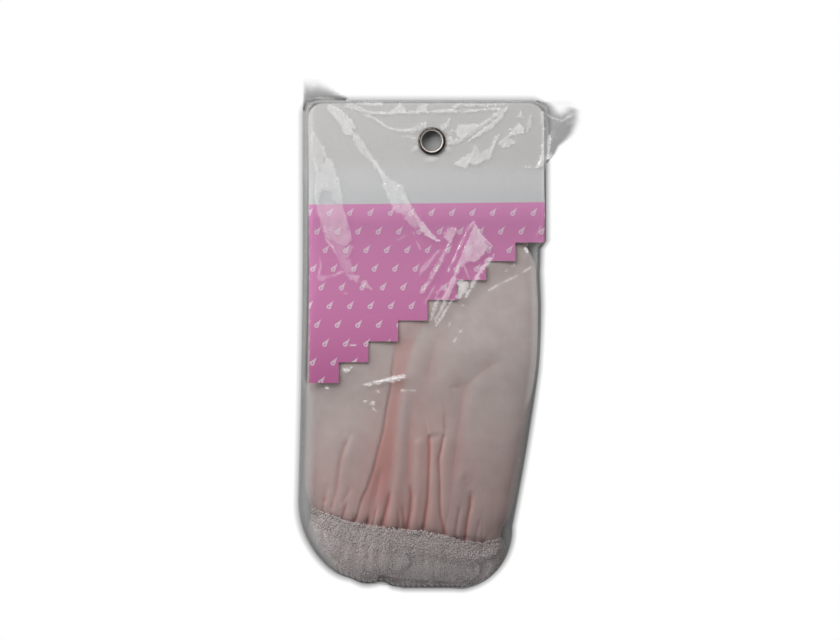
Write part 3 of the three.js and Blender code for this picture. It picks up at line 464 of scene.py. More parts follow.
def fold_depth(x, y):
    """Rise and fall of the folds over the cap's smooth front, in millimetres."""
    total = np.zeros(np.shape(x))
    for kind, height, width, fade_in, fade_out, line in FOLDS:
        off, run, length = along_line(x, y, line)
        width = width * FOLD_SPREAD
        if kind == "ridge":
            shape = np.exp(-(off / width) ** 2)
        elif kind == "valley":
            shape = -np.exp(-np.abs(off / width) ** 1.4)
        else:
            shape = np.exp(-np.maximum(-off, 0) / width) / (1 + np.exp(np.clip(off / 0.3, -40, 40)))
        total += height * shape * ease(run, 0, fade_in) * ease(length - run, 0, fade_out)
    above = y - hem_y(x)
    skirt = 0.7 * np.sin(x / 1.9 + 1.2 * np.sin(x / 5.7)) * ease(-above, 0, 8)
    soft = 0.7 * noise(x, y, 26.0, 3) + 0.2 * noise(x, y, 10.0, 4) + gather_rolls(x, above)
    line = CARD_TIP + STEP_RISE * (x + CARD_HALF) / TREAD
    return (FOLD_SHARE * total + skirt + soft) * ease(y, line + 4.0, line - 9.0)


def waist_drop(x, y):
    """How far the elastic draws the front down at the hem, and the skirt below the lace."""
    above = y - hem_y(x)
    return -1.7 * np.where(above > 0, np.exp(-(above / 4.0) ** 2), 1.0) - 4.6 * ease(above, -1.0, -8.0)


def front_height(x, y, inset=0.0):
    """Height of the cap's front, folds and drawn-in waist included."""
    left, right = cap_sides(y, inset)
    middle, front, _ = cap_section(y, inset)
    across = np.clip(np.abs(2 * (x - left) / (right - left) - 1), 0, 1)
    full = mix(2.6, 5.0, ease(y, -70.0, -25.0))
    round_off = (1 - across ** full) ** (1 / full)
    keep = 1 - across ** 5
    line = CARD_TIP + STEP_RISE * (x + CARD_HALF) / TREAD
    press = mix(-0.5, 0.45, ease(y, line - 16.0, line - 3.0))
    height = middle + front * round_off + keep * (fold_depth(x, y) + waist_drop(x, y) + press)
    return soft_min(height, film_base(x, y)[0] - 0.6 - inset, 1.2)


def back_height(x, y, inset=0.0):
    left, right = cap_sides(y, inset)
    middle, _, back = cap_section(y, inset)
    across = np.clip(np.abs(2 * (x - left) / (right - left) - 1), 0, 1)
    creases = 0.5 * np.abs(noise(x, y * 0.35, 6.0, 11)) * (1 - across ** 4)
    return middle - back * (1 - across ** 4) ** 0.25 + creases


def grid_faces(rows, columns, closed=False):
    step = np.arange(rows - 1)[:, None] * columns
    first = np.arange(columns if closed else columns - 1)[None, :]
    second = (first + 1) % columns
    quads = np.stack([step + first, step + second, step + columns + second, step + columns + first], -1)
    return quads.reshape(-1, 4)


def add_piece(name, points, faces, material, nodes=(), values=None):
    """A smooth mesh piece from millimetre points, riding on the part and standing for CAD nodes."""
    mesh = bpy.data.meshes.new(name)
    mesh.from_pydata((np.asarray(points) * MM).tolist(), [], np.asarray(faces).tolist())
    mesh.polygons.foreach_set("use_smooth", np.ones(len(mesh.polygons), bool))
    for key, numbers in (values or {}).items():
        attribute = mesh.attributes.new(key, "FLOAT", "POINT")
        attribute.data.foreach_set("value", np.asarray(numbers, np.float32).ravel())
    mesh.materials.append(material)
    mesh.update()
    piece = bpy.data.objects.new(name, mesh)
    bpy.context.scene.collection.objects.link(piece)
    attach(piece, "root")
    if nodes:
        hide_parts(*nodes)
    return piece


# Materials

def linear(red, green, blue):
    """A colour written in 0 to 255 display values, as the shader's linear colour."""
    parts = [v / 255.0 for v in (red, green, blue)]
    return tuple(v / 12.92 if v <= 0.04045 else ((v + 0.055) / 1.055) ** 2.4 for v in parts) + (1.0,)


class Shader:
    """A node material with short calls for adding nodes and wiring them."""

    def __init__(self, name):
        self.material = bpy.data.materials.new(name)
        self.material.use_nodes = True
        self.tree = self.material.node_tree
        self.surface = self.tree.nodes["Principled BSDF"]
        self.output = self.tree.nodes["Material Output"]

    def plug(self, socket, value):
        if isinstance(value, bpy.types.NodeSocket):
            self.tree.links.new(value, socket)
        else:
            socket.default_value = value

    def node(self, kind, inputs=None, **settings):
        made = self.tree.nodes.new("ShaderNode" + kind)
        for key, value in settings.items():
            setattr(made, key, value)
        for key, value in (inputs or {}).items():
            self.plug(made.inputs[key], value)
        return made

    def math(self, operation, *values):
        made = self.node("Math", dict(enumerate(values)), operation=operation)
        return made.outputs[0]

    def ramp(self, value, low, high, start=0.0, end=1.0):
        made = self.node("MapRange", {0: value, 1: low, 2: high, 3: start, 4: end})
        return made.outputs[0]

    def blend(self, share, first, second):
        made = self.node("Mix", {0: share, 6: first, 7: second}, data_type="RGBA")
        return made.outputs[2]

    def attribute(self, name):
        return self.node("Attribute", attribute_name=name).outputs["Fac"]

    def place(self):
        return self.node("TexCoord").outputs["Object"]

    def noise(self, scale, detail=2.0, vector=None):
        inputs = {"Vector": vector or self.place(), "Scale": scale, "Detail": detail}
        return self.node("TexNoise", inputs).outputs[0]

    def streak(self, angle):
        """Noise drawn out along a direction in the plane of the floor, given in degrees."""
        inputs = {"Vector": self.place(), "Rotation": (0, 0, math.radians(angle)), "Scale": (9.0, 1.0, 1.0)}
        drawn = self.node("Mapping", inputs, vector_type="TEXTURE").outputs[0]
        return self.noise(900.0, 3.0, drawn)

    def bump(self, height, distance, strength=1.0):
        inputs = {"Height": height, "Distance": distance, "Strength": strength}
        return self.node("Bump", inputs).outputs[0]

    def set(self, **inputs):
        for key, value in inputs.items():
            self.plug(self.surface.inputs[key.replace("_", " ")], value)


def film_material(name, haze_and_glint, tint):
    """Clear thin film: seen through, greyer on edge, with sharp glints; whitened where it is creased, partly
    as painted glint, and greyed by painted shade at its margins.
    """
    shader = Shader(name)
    crinkle = shader.bump(shader.noise(420.0, 3.0), 0.00006, 0.6)
    mirrored = shader.blend(shader.attribute("dull"), (1, 1, 1, 1), (0, 0, 0, 1))
    gloss = shader.node("BsdfGlossy", {"Color": mirrored, "Normal": crinkle})
    shader.plug(gloss.inputs["Roughness"], shader.ramp(shader.noise(60.0), 0.3, 0.7, 0.05, 0.13))
    facing = shader.node("LayerWeight", {"Blend": 0.5}).outputs["Facing"]
    on_edge = shader.math("POWER", facing, 1.7)
    through = shader.blend(on_edge, (tint, tint, tint, 1), (0.5 * tint, 0.5 * tint, 0.5 * tint, 1))
    through = shader.blend(shader.attribute("fade"), through, (0.97, 0.97, 0.97, 1))
    clear = shader.node("BsdfTransparent", {"Color": through})
    fresnel = shader.node("Fresnel", {"IOR": 1.5, "Normal": crinkle})
    share = shader.math("MINIMUM", shader.math("MULTIPLY", fresnel.outputs[0], 1.9), 0.22)
    share = shader.math("MULTIPLY", share, shader.attribute("gloss"))
    skin = shader.node("MixShader", {0: share, 1: clear.outputs[0], 2: gloss.outputs[0]})
    # Painted shade: a grey diffuse layer where the margin attribute is set.
    painted_margin_shade = shader.attribute("painted_margin_shade")
    milk_glint_and_shade = shader.blend(painted_margin_shade, (0.96, 0.96, 0.96, 1), (0.31, 0.306, 0.302, 1))
    white = shader.node("BsdfDiffuse", {"Color": milk_glint_and_shade})
    # Milky facets and crease whitening below: white diffuse set place by place, partly painted glint.
    grain = shader.noise(800.0, 4.0)
    split = shader.node("SeparateXYZ", {0: shader.place()})
    right = shader.ramp(split.outputs[0], 0.002, 0.006)
    streak = shader.node("Mix", {0: right, 2: shader.streak(-52), 3: shader.streak(61)}).outputs[0]
    edge = shader.math("ADD", shader.attribute("glint_veil"), shader.ramp(grain, 0.25, 0.75, -0.3, 0.3))
    facet = shader.math("MULTIPLY", shader.ramp(edge, 0.4, 0.62), shader.attribute("level"))
    facet = shader.math("MULTIPLY", facet, shader.ramp(shader.noise(260.0, 3.0), 0.3, 0.7, 0.75, 1.15))
    line = shader.math("ABSOLUTE", shader.math("SUBTRACT", streak, 0.5))
    facet = shader.math("MULTIPLY", facet, shader.ramp(line, 0.0, 0.03, 0.65, 1.0))
    amount = shader.math("MULTIPLY", shader.attribute("haze_and_glint"), shader.ramp(grain, 0.3, 0.6, 0.5, 1.1))
    amount = shader.math("MAXIMUM", amount, facet)
    amount = shader.math("MAXIMUM", amount, shader.math("MULTIPLY", painted_margin_shade, 0.6))
    amount = shader.math("ADD", amount, haze_and_glint)
    whole = shader.node("MixShader", {0: amount, 1: skin.outputs[0], 2: white.outputs[0]})
    shader.plug(shader.output.inputs[0], whole.outputs[0])
    return shader.material


def card_material():
    """Printed card: a bare grey band over a pink field of small slanted drops, with painted shade darkening
    the grey toward the bend and the pink toward the tip.
    """
    shader = Shader("printed_card_print")
    split = shader.node("SeparateXYZ", {0: shader.place()})
    x = shader.math("MULTIPLY", split.outputs[0], 1000.0)
    y = shader.math("MULTIPLY", split.outputs[1], 1000.0)
    field_top = shader.math("MULTIPLY_ADD", x, 0.0106, 65.3)
    pink_share = shader.ramp(shader.math("SUBTRACT", field_top, y), -0.12, 0.12)

    row = shader.math("DIVIDE", shader.math("SUBTRACT", 61.2, y), 8.6)
    row_index = shader.math("ROUND", row)
    down = shader.math("MULTIPLY", shader.math("SUBTRACT", row, row_index), -8.6)
    shifted = shader.math("SUBTRACT", x, shader.math("MULTIPLY_ADD", row_index, 3.8, 2.1))
    column = shader.math("DIVIDE", shifted, 9.4)
    across = shader.math("MULTIPLY", shader.math("SUBTRACT", column, shader.math("ROUND", column)), 9.4)
    lean = math.radians(37)
    run = shader.math("ADD", shader.math("MULTIPLY", across, math.sin(lean)),
                      shader.math("MULTIPLY_ADD", down, math.cos(lean), 0.8))
    off = shader.math("SUBTRACT", shader.math("MULTIPLY", across, math.cos(lean)),
                      shader.math("MULTIPLY", down, math.sin(lean)))
    tail = shader.math("SUBTRACT", 1.0, shader.ramp(run, 0.0, 4.2))
    bulb = shader.math("SUBTRACT", 1.0, shader.math("POWER", shader.ramp(run, 0.0, -1.05), 2.0))
    width = shader.math("MULTIPLY", shader.math("SQRT", bulb), shader.math("POWER", tail, 1.35))
    edge = shader.math("SUBTRACT", shader.math("ABSOLUTE", off),
                       shader.math("MULTIPLY_ADD", width, 1.22, -0.1))
    drop = shader.ramp(edge, 0.1, -0.1)
    eye = shader.math("POWER", shader.math("DIVIDE", off, 0.3), 2.0)
    eye = shader.math("ADD", eye, shader.math("POWER", shader.math("DIVIDE", run, 0.5), 2.0))
    drop = shader.math("MULTIPLY", drop, shader.ramp(eye, 0.8, 1.25))

    mottle = shader.noise(900.0, 3.0)
    # Painted shade: the pink darkens toward the card's tip.
    pink = shader.blend(shader.ramp(y, -15.0, 60.0), linear(192, 99, 155), linear(205, 127, 177))
    field = shader.blend(drop, pink, linear(216, 190, 206))
    # Painted shade: the grey darkens toward the bend and is lighter on the flat header.
    grey = shader.blend(shader.ramp(y, 70.0, 88.0), linear(192, 193, 194), linear(213, 211, 210))
    printed = shader.blend(pink_share, grey, field)
    printed = shader.blend(shader.ramp(mottle, 0.25, 0.75, 0.0, 0.09), printed, linear(120, 112, 116))
    leaning = shader.math("MULTIPLY_ADD", y, CARD_LEAN / (CARD_TOP - CARD_TIP), x)
    border = shader.math("MAXIMUM", shader.ramp(x, 53.75, 54.0), shader.ramp(leaning, -53.92, -54.17))
    wear = shader.math("MULTIPLY", border, shader.ramp(shader.noise(320.0, 4.0), 0.5, 0.62))
    printed = shader.blend(wear, printed, linear(226, 222, 220))
    shader.set(Base_Color=printed, Roughness=shader.ramp(mottle, 0.2, 0.8, 0.38, 0.52),
               Normal=shader.bump(mottle, 0.00004, 0.5))
    shader.surface.inputs["Specular IOR Level"].default_value = 0.35
    return shader.material


def board_material():
    """The card's bare board, at its cut edges and back."""
    shader = Shader("card_board")
    fibre = shader.noise(1500.0, 4.0)
    tone = shader.blend(shader.ramp(fibre, 0.3, 0.7), linear(196, 192, 186), linear(222, 219, 214))
    shader.set(Base_Color=tone, Roughness=0.8, Normal=shader.bump(fibre, 0.00006, 0.6))
    return shader.material


def metal_material(name, tone, dark, rim=None):
    """Plated eyelet metal, tarnished in patches, with a thin pale ring of painted highlight where a rim
    colour is given.
    """
    shader = Shader(name)
    stain = shader.ramp(shader.noise(700.0, 5.0), 0.42, 0.66)
    colour, metallic = shader.blend(stain, tone, dark), 1.0
    if rim:
        # The rim colour is a painted highlight: a thin pale ring on the upper curl, less metallic.
        split = shader.node("SeparateXYZ", {0: shader.place()})
        x = shader.math("SUBTRACT", split.outputs[0], EYELET[0] * MM)
        y = shader.math("SUBTRACT", split.outputs[1], EYELET[1] * MM)
        squares = shader.math("ADD", shader.math("MULTIPLY", x, x), shader.math("MULTIPLY", y, y))
        off = shader.math("ABSOLUTE", shader.math("SUBTRACT", shader.math("SQRT", squares), 0.00502))
        high = shader.ramp(split.outputs[2], 0.0034, 0.0037)
        painted_highlight_ring = shader.math("MULTIPLY", shader.ramp(off, 0.00042, 0.0002), high)
        colour = shader.blend(painted_highlight_ring, colour, rim)
        metallic = shader.ramp(painted_highlight_ring, 0.0, 1.0, 1.0, 0.25)
    shader.set(Base_Color=colour, Metallic=metallic,
               Roughness=shader.ramp(shader.noise(1600.0), 0.3, 0.7, 0.16, 0.36),
               Normal=shader.bump(shader.noise(2600.0), 0.00002, 0.4))
    return shader.material


def vinyl_material():
    """Pale pink vinyl over terry: painted shade deepens its folds and darkens it downward, most at the lower
    right; pinker in places, faintly mottled, softly sheened.
    """
    shader = Shader("pink_vinyl_skin")
    fine = shader.noise(1700.0, 3.0)
    cloud = shader.noise(160.0, 3.0)
    pale = shader.blend(shader.ramp(cloud, 0.3, 0.7), linear(183, 169, 166), linear(190, 178, 175))
    # Painted shade in the fold hollows, with pinker tones, from the fold attribute.
    tone = shader.blend(shader.attribute("fold_shade_and_pink"), pale, linear(192, 132, 126))
    tone = shader.blend(shader.ramp(fine, 0.3, 0.7, 0.0, 0.10), tone, linear(140, 118, 114))
    split = shader.node("SeparateXYZ", {0: shader.place()})
    across, along = split.outputs[0], split.outputs[1]
    shade = linear(112, 90, 88)
    # Painted shade: the blends below darken the cap toward its lower end, most on the lower right.
    tone = shader.blend(shader.ramp(along, -0.01, -0.085, 0.0, 0.2), tone, shade)
    right = shader.math("MULTIPLY", shader.ramp(across, 0.012, 0.045, 0.0, 0.16),
                        shader.ramp(along, 0.0, -0.03))
    tone = shader.blend(right, tone, linear(112, 96, 94))
    low = shader.math("MULTIPLY", shader.ramp(along, -0.058, -0.084, 0.0, 0.16),
                      shader.ramp(across, -0.024, -0.016))
    tone = shader.blend(low, tone, shade)
    shader.set(Base_Color=tone, Roughness=shader.ramp(fine, 0.3, 0.7, 0.42, 0.58),
               Normal=shader.bump(fine, 0.00012, 0.5))
    shader.surface.inputs["Specular IOR Level"].default_value = 0.3
    return shader.material


def terry_material():
    shader = Shader("terry_loops")
    loops = shader.node("TexVoronoi", {"Vector": shader.place(), "Scale": 900.0}).outputs[0]
    tone = shader.blend(shader.ramp(loops, 0.1, 0.7), linear(214, 200, 196), linear(150, 132, 128))
    shader.set(Base_Color=tone, Roughness=0.95, Normal=shader.bump(loops, 0.0004, 0.8))
    shader.surface.inputs["Sheen Weight"].default_value = 0.4
    return shader.material


def elastic_material():
    shader = Shader("elastic_ribs")
    wave = shader.node("TexWave", {"Vector": shader.place(), "Scale": 900.0, "Distortion": 1.5},
                       bands_direction="X").outputs[1]
    tone = shader.blend(wave, linear(176, 172, 168), linear(214, 211, 206))
    shader.set(Base_Color=tone, Roughness=0.85, Normal=shader.bump(wave, 0.0002, 0.6))
    return shader.material


def lace_material():
    """Lace thread: pitted with painted shade, greyer to the right and at its lower right end by painted
    shade, blushed over the cap, paler at its free edge, with painted shadow beside the lobes.
    """
    shader = Shader("lace_thread")
    shade = linear(112, 98, 97)
    split = shader.node("SeparateXYZ", {0: shader.place()})
    across, down = split.outputs[0], split.outputs[1]
    twist = shader.noise(3200.0, 3.0)
    tone = shader.blend(shader.ramp(twist, 0.3, 0.7), linear(178, 168, 167), linear(200, 190, 188))
    # Painted shade in the pitted thread.
    painted_pit_shade = shader.ramp(shader.noise(1500.0, 2.0), 0.34, 0.48, 0.2, 0.0)
    tone = shader.blend(painted_pit_shade, tone, shade)
    # Painted shade: greyer to the right and at the lower right end.
    tone = shader.blend(shader.ramp(across, -0.03, 0.02, 0.0, 0.11), tone, shade)
    end = shader.math("MULTIPLY", shader.ramp(across, 0.012, 0.024, 0.0, 0.3),
                      shader.ramp(down, -0.099, -0.094))
    tone = shader.blend(end, tone, shade)
    share = shader.math("MULTIPLY", shader.attribute("blush"), 0.62)
    tone = shader.blend(share, tone, linear(208, 178, 174))
    tone = shader.blend(shader.ramp(down, -0.093, -0.106, 0.0, 0.7), tone, linear(214, 206, 204))
    border = shader.attribute("selvage_and_shadow")
    tone = shader.blend(shader.ramp(border, 0.0, 1.0, 0.0, 0.7), tone, linear(222, 214, 212))
    # Painted shadow beside the lobes' edges, where the attribute is negative.
    tone = shader.blend(shader.ramp(border, 0.0, -1.0, 0.0, 0.4), tone, linear(100, 86, 85))
    shader.set(Base_Color=tone, Roughness=0.85, Normal=shader.bump(twist, 0.0001, 0.7))
    shader.surface.inputs["Sheen Weight"].default_value = 0.25
    return shader.material


def thread_material():
    shader = Shader("sewing_thread")
    twist = shader.node("TexWave", {"Vector": shader.place(), "Scale": 1500.0},
                        bands_direction="DIAGONAL").outputs[1]
    tone = shader.blend(twist, linear(196, 172, 168), linear(222, 204, 200))
    shader.set(Base_Color=tone, Roughness=0.7, Normal=shader.bump(twist, 0.00008, 0.6))
    return shader.material


# Pieces

def step_level(index):
    """Height along the card of a step's edge, counted from the tip at the left."""
    return CARD_TIP + STEP_RISE * index + STEP_BOW * math.sin(math.pi * (index / (STEP_COUNT - 1)) ** 1.4)


def make_card(material, edge):
    """The stepped card, bent from the flat header over the cap, with its eyelet hole."""
    ring = CARD_HOLE * np.cos(np.linspace(math.pi, 0, 17))
    levels = [step_level(k) for k in range(STEP_COUNT)]
    corner = CARD_TOP - CARD_CORNER * (1 - np.sin(np.linspace(0, math.pi / 2, 9)))
    stations = np.concatenate([np.arange(-16.0, 106.0, 1.6), levels, EYELET[1] + ring, corner])
    rows = np.unique(np.round(stations, 3))
    rows = rows[np.concatenate([[True], np.diff(rows) > 0.02])]
    columns = [-CARD_HALF + TREAD * k for k in range(STEP_COUNT + 1)]
    columns.insert(HOLE_COLUMN + 1, columns[HOLE_COLUMN])
    points = []
    for y in rows:
        inset = float(corner_inset(np.array(CARD_TOP - y), CARD_CORNER))
        line = list(columns)
        line[0] += inset - CARD_LEAN * (y - CARD_TIP) / (CARD_TOP - CARD_TIP)
        line[-1] -= inset
        reach = CARD_HOLE ** 2 - (y - EYELET[1]) ** 2
        half = math.sqrt(reach) if reach > 0 else 0.0
        drift = EYELET[0] * float(ease(np.array(y), 60.0, EYELET[1] - CARD_HOLE))
        line[HOLE_COLUMN] += drift - half
        line[HOLE_COLUMN + 1] += drift + half
        points += [(x, y, float(card_height(np.array(y))) + CARD_THICKNESS) for x in line]
    width = len(columns)
    faces = []
    for r in range(len(rows) - 1):
        middle = (rows[r] + rows[r + 1]) / 2
        for c in range(width - 1):
            step = c if c < HOLE_COLUMN else c - 1
            if c == HOLE_COLUMN or middle < step_level(min(step, STEP_COUNT - 1)):
                continue
            a = r * width + c
            faces.append((a, a + 1, a + width + 1, a + width))
    piece = add_piece("card", points, faces, material, ["header_card"])
    piece.data.materials.append(edge)
    merge_doubles(piece.data)
    solid = piece.modifiers.new("board", "SOLIDIFY")
    solid.thickness = CARD_THICKNESS * MM
    solid.offset = -1.0
    solid.material_offset = 1
    solid.material_offset_rim = 1
    solid.use_even_offset = False
    settle(piece, 35)
    return piece


def settle(piece, angle):
    """Makes a piece's modifiers part of its mesh and keeps edges sharper than the angle crisp."""
    graph = bpy.context.evaluated_depsgraph_get()
    mesh = bpy.data.meshes.new_from_object(piece.evaluated_get(graph))
    piece.modifiers.clear()
    piece.data = mesh
    mesh.set_sharp_from_angle(angle=math.radians(angle))


def merge_doubles(mesh):
    """Joins points that lie together and drops those that no face uses."""
    work = bmesh.new()
    work.from_mesh(mesh)
    bmesh.ops.remove_doubles(work, verts=work.verts, dist=1e-6)
    loose = [v for v in work.verts if not v.link_faces]
    bmesh.ops.delete(work, geom=loose, context="VERTS")
    work.to_mesh(mesh)
    work.free()


def make_lathe(name, profile, material, node):
    """A closed ring turned round the eyelet's axis from radius and height pairs."""
    turns = 96
    angle = np.linspace(0, 2 * math.pi, turns, endpoint=False)
    shape = np.array(profile + profile[:1])
    radius, height = shape[:, 0][:, None], shape[:, 1][:, None]
    points = np.stack([EYELET[0] + radius * np.cos(angle), EYELET[1] + radius * np.sin(angle),
                       np.broadcast_to(height, (len(shape), turns))], -1).reshape(-1, 3)
    piece = add_piece(name, points, grid_faces(len(shape), turns, closed=True), material, [node])
    merge_doubles(piece.data)
    return piece


def curl(centre_r, centre_z, radius_r, radius_z, start, end, count):
    angles = np.radians(np.linspace(start, end, count))
    return [(centre_r + radius_r * math.cos(a), centre_z + radius_z * math.sin(a)) for a in angles]


def make_eyelet(material, washer_material):
    """The rolled barrel and the washer that it is rolled over."""
    top = curl(5.5, 3.45, 0.9, 0.62, -10, 175, 15)
    bottom = curl(5.5, 0.5, 0.8, 0.45, 185, 370, 15)
    barrel = top + [(4.7, 3.0), (4.7, 1.0)] + bottom + [(5.1, 0.9), (5.1, 3.3)]
    make_lathe("eyelet", barrel, material, "eyelet_barrel")
    ring = curl(6.75, 1.15, 0.25, 0.25, -80, 80, 7) + [(5.35, 1.4), (5.35, 0.9)]
    make_lathe("eyelet_back_washer", ring, washer_material, "eyelet_washer")


def ring_grid(rows, front_count, back_count, inset=0.0):
    """Rings of the cap, front from left to right and then back, one for each station."""
    y = rows[:, None]
    left, right = cap_sides(y, inset)
    share = (1 - np.cos(np.linspace(0, math.pi, front_count))) / 2
    share = mix(share, np.linspace(0, 1, front_count), 0.75)[None, :]
    front_x = mix(left, right, share)
    front_z = front_height(front_x, np.broadcast_to(y, front_x.shape), inset)
    share = np.linspace(1, 0, back_count + 2)[1:-1][None, :]
    back_x = mix(left, right, share)
    back_z = back_height(back_x, np.broadcast_to(y, back_x.shape), inset)
    x = np.concatenate([front_x, back_x], 1)
    z = np.concatenate([front_z, back_z], 1)
    return x, np.broadcast_to(y, x.shape).copy(), z


def make_cap(material, lining_material):
    """The vinyl shell, with painted shade in its folds and pinker tones in places, and the terry lining
    inside it.
    """
    rows = np.concatenate([np.arange(SKIRT_END, 40.0, 0.75), np.linspace(40.0, CROWN, 34)])
    x, y, z = ring_grid(rows, FRONT_COLUMNS, BACK_COLUMNS)
    fx, fy = x[:, :FRONT_COLUMNS], y[:, :FRONT_COLUMNS]
    # The fold attribute: painted shade where the front lies below its smoothed self, with pinker tones on
    # the peach strip, the middle and the crown side.
    front = fold_depth(fx, fy)
    kernel = np.hanning(39) / np.hanning(39).sum()
    padded = np.pad(front, ((0, 0), (19, 19)), mode="edge")
    soft = np.stack([np.convolve(line, kernel, mode="valid") for line in padded])
    off, run, _ = along_line(fx, fy, FOLDS[0][5])
    beyond = along_line(fx, fy, PEACH_RIGHT)[0]
    strip = ease(off, -0.1, 0.5) * ease(-beyond, -0.8, 2.8) * ease(run, -2.0, 2.0)
    strip = strip * ease(fy, -84.0, -60.0)
    tint = np.maximum(np.clip((soft - front) * 0.85, 0, 0.6), 0.45 * strip)
    middle = 0.4 + 0.6 * np.exp(-((fx + 13.0) / 26.0) ** 2)
    above = fy - hem_y(fx)
    tint += 0.57 * middle * ease(above, mix(50.0, 75.0, ease(fx, -40.0, -22.0)), 8.0)
    crown_side = ease(above, 95.0, 60.0) * ease(above, 20.0, 40.0)
    tint += 0.2 * np.exp(-((fx + 2.0) / 20.0) ** 2) * crown_side
    tube = np.exp(-((fx + 8.6) / 4.8) ** 2) * ease(above, 12.0, 24.0) * ease(above, 66.0, 54.0)
    tint -= 0.17 * tube
    depth = np.zeros(x.shape)
    depth[:, :FRONT_COLUMNS] = tint
    points = np.stack([x, y, z], -1).reshape(-1, 3)
    shell = add_piece("cap_shell", points, grid_faces(*x.shape, closed=True), material,
                      ["cap_vinyl_shell"], {"fold_shade_and_pink": np.clip(depth, 0, 1)})
    rows = np.concatenate([np.arange(-95.0, 40.0, 1.4), np.linspace(40.0, CROWN - 1.2, 20)])
    x, y, z = ring_grid(rows, 130, 80, 1.2)
    z += 0.22 * noise(x, y, 1.6, 21)
    points = np.stack([x, y, z], -1).reshape(-1, 3)
    lining = add_piece("cap_lining", points, grid_faces(*x.shape, closed=True), lining_material,
                       ["cap_terry_lining"])
    return shell, lining


def hem_ring(offset, inset, count):
    """Points round the mouth at a distance along the cap from the hem line, front and then back."""
    half = count // 2
    x = np.linspace(-51.0, 33.5, half)
    y = hem_y(x) + offset
    left, right = cap_sides(y, inset)
    x = mix(left, right, np.linspace(0.004, 0.996, half))
    y = hem_y(x) + offset
    front = np.stack([x, y, front_height(x, y, inset)], -1)
    back = np.stack([x, y, back_height(x, y, inset)], -1)[::-1]
    return np.concatenate([front, back])


def make_elastic(material):
    """The elastic inside the hem: a flat ribbed band round the mouth."""
    rows = []
    for k, offset in enumerate(np.linspace(-3.0, 3.0, BAND_ROWS)):
        ring = hem_ring(offset - 1.0, 2.1, BAND_COLUMNS)
        ring[:, 2] += 0.18 * np.sin(np.arange(BAND_COLUMNS) * 2.2 + k)
        rows.append(ring)
    faces = grid_faces(BAND_ROWS, BAND_COLUMNS, closed=True)
    piece = add_piece("elastic_band", np.concatenate(rows), faces, material, ["cap_elastic_band"])
    band = piece.modifiers.new("band", "SOLIDIFY")
    band.thickness = 0.0006
    return piece


# Stations of the lace round the mouth: its sewn edge, its free edge, and how high it lies there.
LACE_FRONT = [
    ((-52.4, -76.3), (-54.8, -86.0), 0.0), ((-48.5, -78.2), (-50.2, -95.0), 0.6),
    ((-43.0, -80.2), (-44.9, -101.0), 0.9), ((-36.5, -82.3), (-38.2, -106.2), 1.0),
    ((-29.0, -83.8), (-31.0, -109.8), 1.0), ((-22.0, -85.0), (-24.0, -111.6), 1.0),
    ((-15.5, -85.7), (-17.0, -112.2), 0.9), ((-9.5, -86.2), (-10.4, -112.3), 0.8),
    ((-2.0, -86.9), (-3.8, -112.2), 0.8), ((4.0, -88.1), (4.0, -112.0), 0.8),
    ((9.5, -89.3), (10.5, -112.0), 0.9), ((14.5, -91.2), (16.2, -111.9), 0.9),
    ((20.0, -92.2), (22.6, -110.6), 0.7), ((26.0, -92.4), (29.6, -105.8), 0.5),
    ((30.5, -91.5), (34.0, -100.0), 0.4), ((33.6, -90.0), (36.2, -94.0), 0.0),
]
LACE_BACK = [
    ((30.0, -91.6), (32.6, -103.0), 0.3), ((22.0, -92.4), (25.6, -109.0), 0.0),
    ((14.0, -91.2), (17.5, -111.6), 0.5), ((6.0, -88.6), (7.5, -112.2), 0.0),
    ((-2.0, -86.8), (-3.0, -112.3), 0.5), ((-11.0, -86.1), (-13.0, -112.2), 0.0),
    ((-20.0, -85.2), (-22.5, -111.6), 0.5), ((-29.0, -83.8), (-30.4, -110.0), 0.0),
    ((-38.0, -81.9), (-38.6, -105.6), 0.4), ((-46.0, -79.1), (-46.6, -98.8), 0.1),
]


# Lobes of the lace: how high each stands over the layer below, and its outline.
LOBES = [
    (2.3, [(-62.0, -70.0), (-10.5, -84.0), (-10.0, -94.8), (-8.0, -99.8), (-11.3, -103.0), (-15.4, -104.4),
        (-20.9, -106.3), (-23.2, -108.8), (-25.0, -116.0), (-62.0, -116.0)]),
    (1.1, [(-16.0, -84.0), (17.0, -84.0), (21.4, -98.4), (24.2, -101.0), (23.2, -105.2), (20.3, -107.6),
        (14.2, -109.5), (4.6, -109.0), (-5.3, -108.1), (-16.0, -107.6), (-22.0, -107.0)]),
]


def lobe_rise(x, y):
    """How high the lace's lobes stand at a place, and how near it is to a lobe's ragged edge, negative for
    the painted shadow just outside it.
    """
    total, selvage_and_shadow = np.zeros(np.shape(x)), np.zeros(np.shape(x))
    for index, (rise, outline) in enumerate(LOBES):
        gap = inside_gap(x, y, outline) + 0.35 * noise(x, y, 1.6, 151 + index)
        on_top = total < rise
        total = np.maximum(total, rise * ease(gap, -0.2, 0.2))
        selvage_and_shadow = np.where(on_top & (gap > 0), np.exp(-((gap - 0.4) / 0.5) ** 2), selvage_and_shadow)
        # Painted shadow just outside each lobe's edge.
        shadow = np.minimum(selvage_and_shadow, -np.exp(np.minimum(gap, 0) / 1.2))
        selvage_and_shadow = np.where(on_top & (gap <= 0), shadow, selvage_and_shadow)
    return total, selvage_and_shadow


def spline(keys, count):
    """A closed smooth curve through key rows, evenly stepped from key to key."""
    keys = np.asarray(keys, float)
    size = len(keys)
    at = np.linspace(0, size, count, endpoint=False)
    i = np.floor(at).astype(int)
    t = (at - i)[:, None]
    a, b, c, d = (keys[(i + k) % size] for k in (-1, 0, 1, 2))
    return 0.5 * (2 * b + (c - a) * t + (2 * a - 5 * b + 4 * c - d) * t ** 2
                  + (3 * b - a - 3 * c + d) * t ** 3)


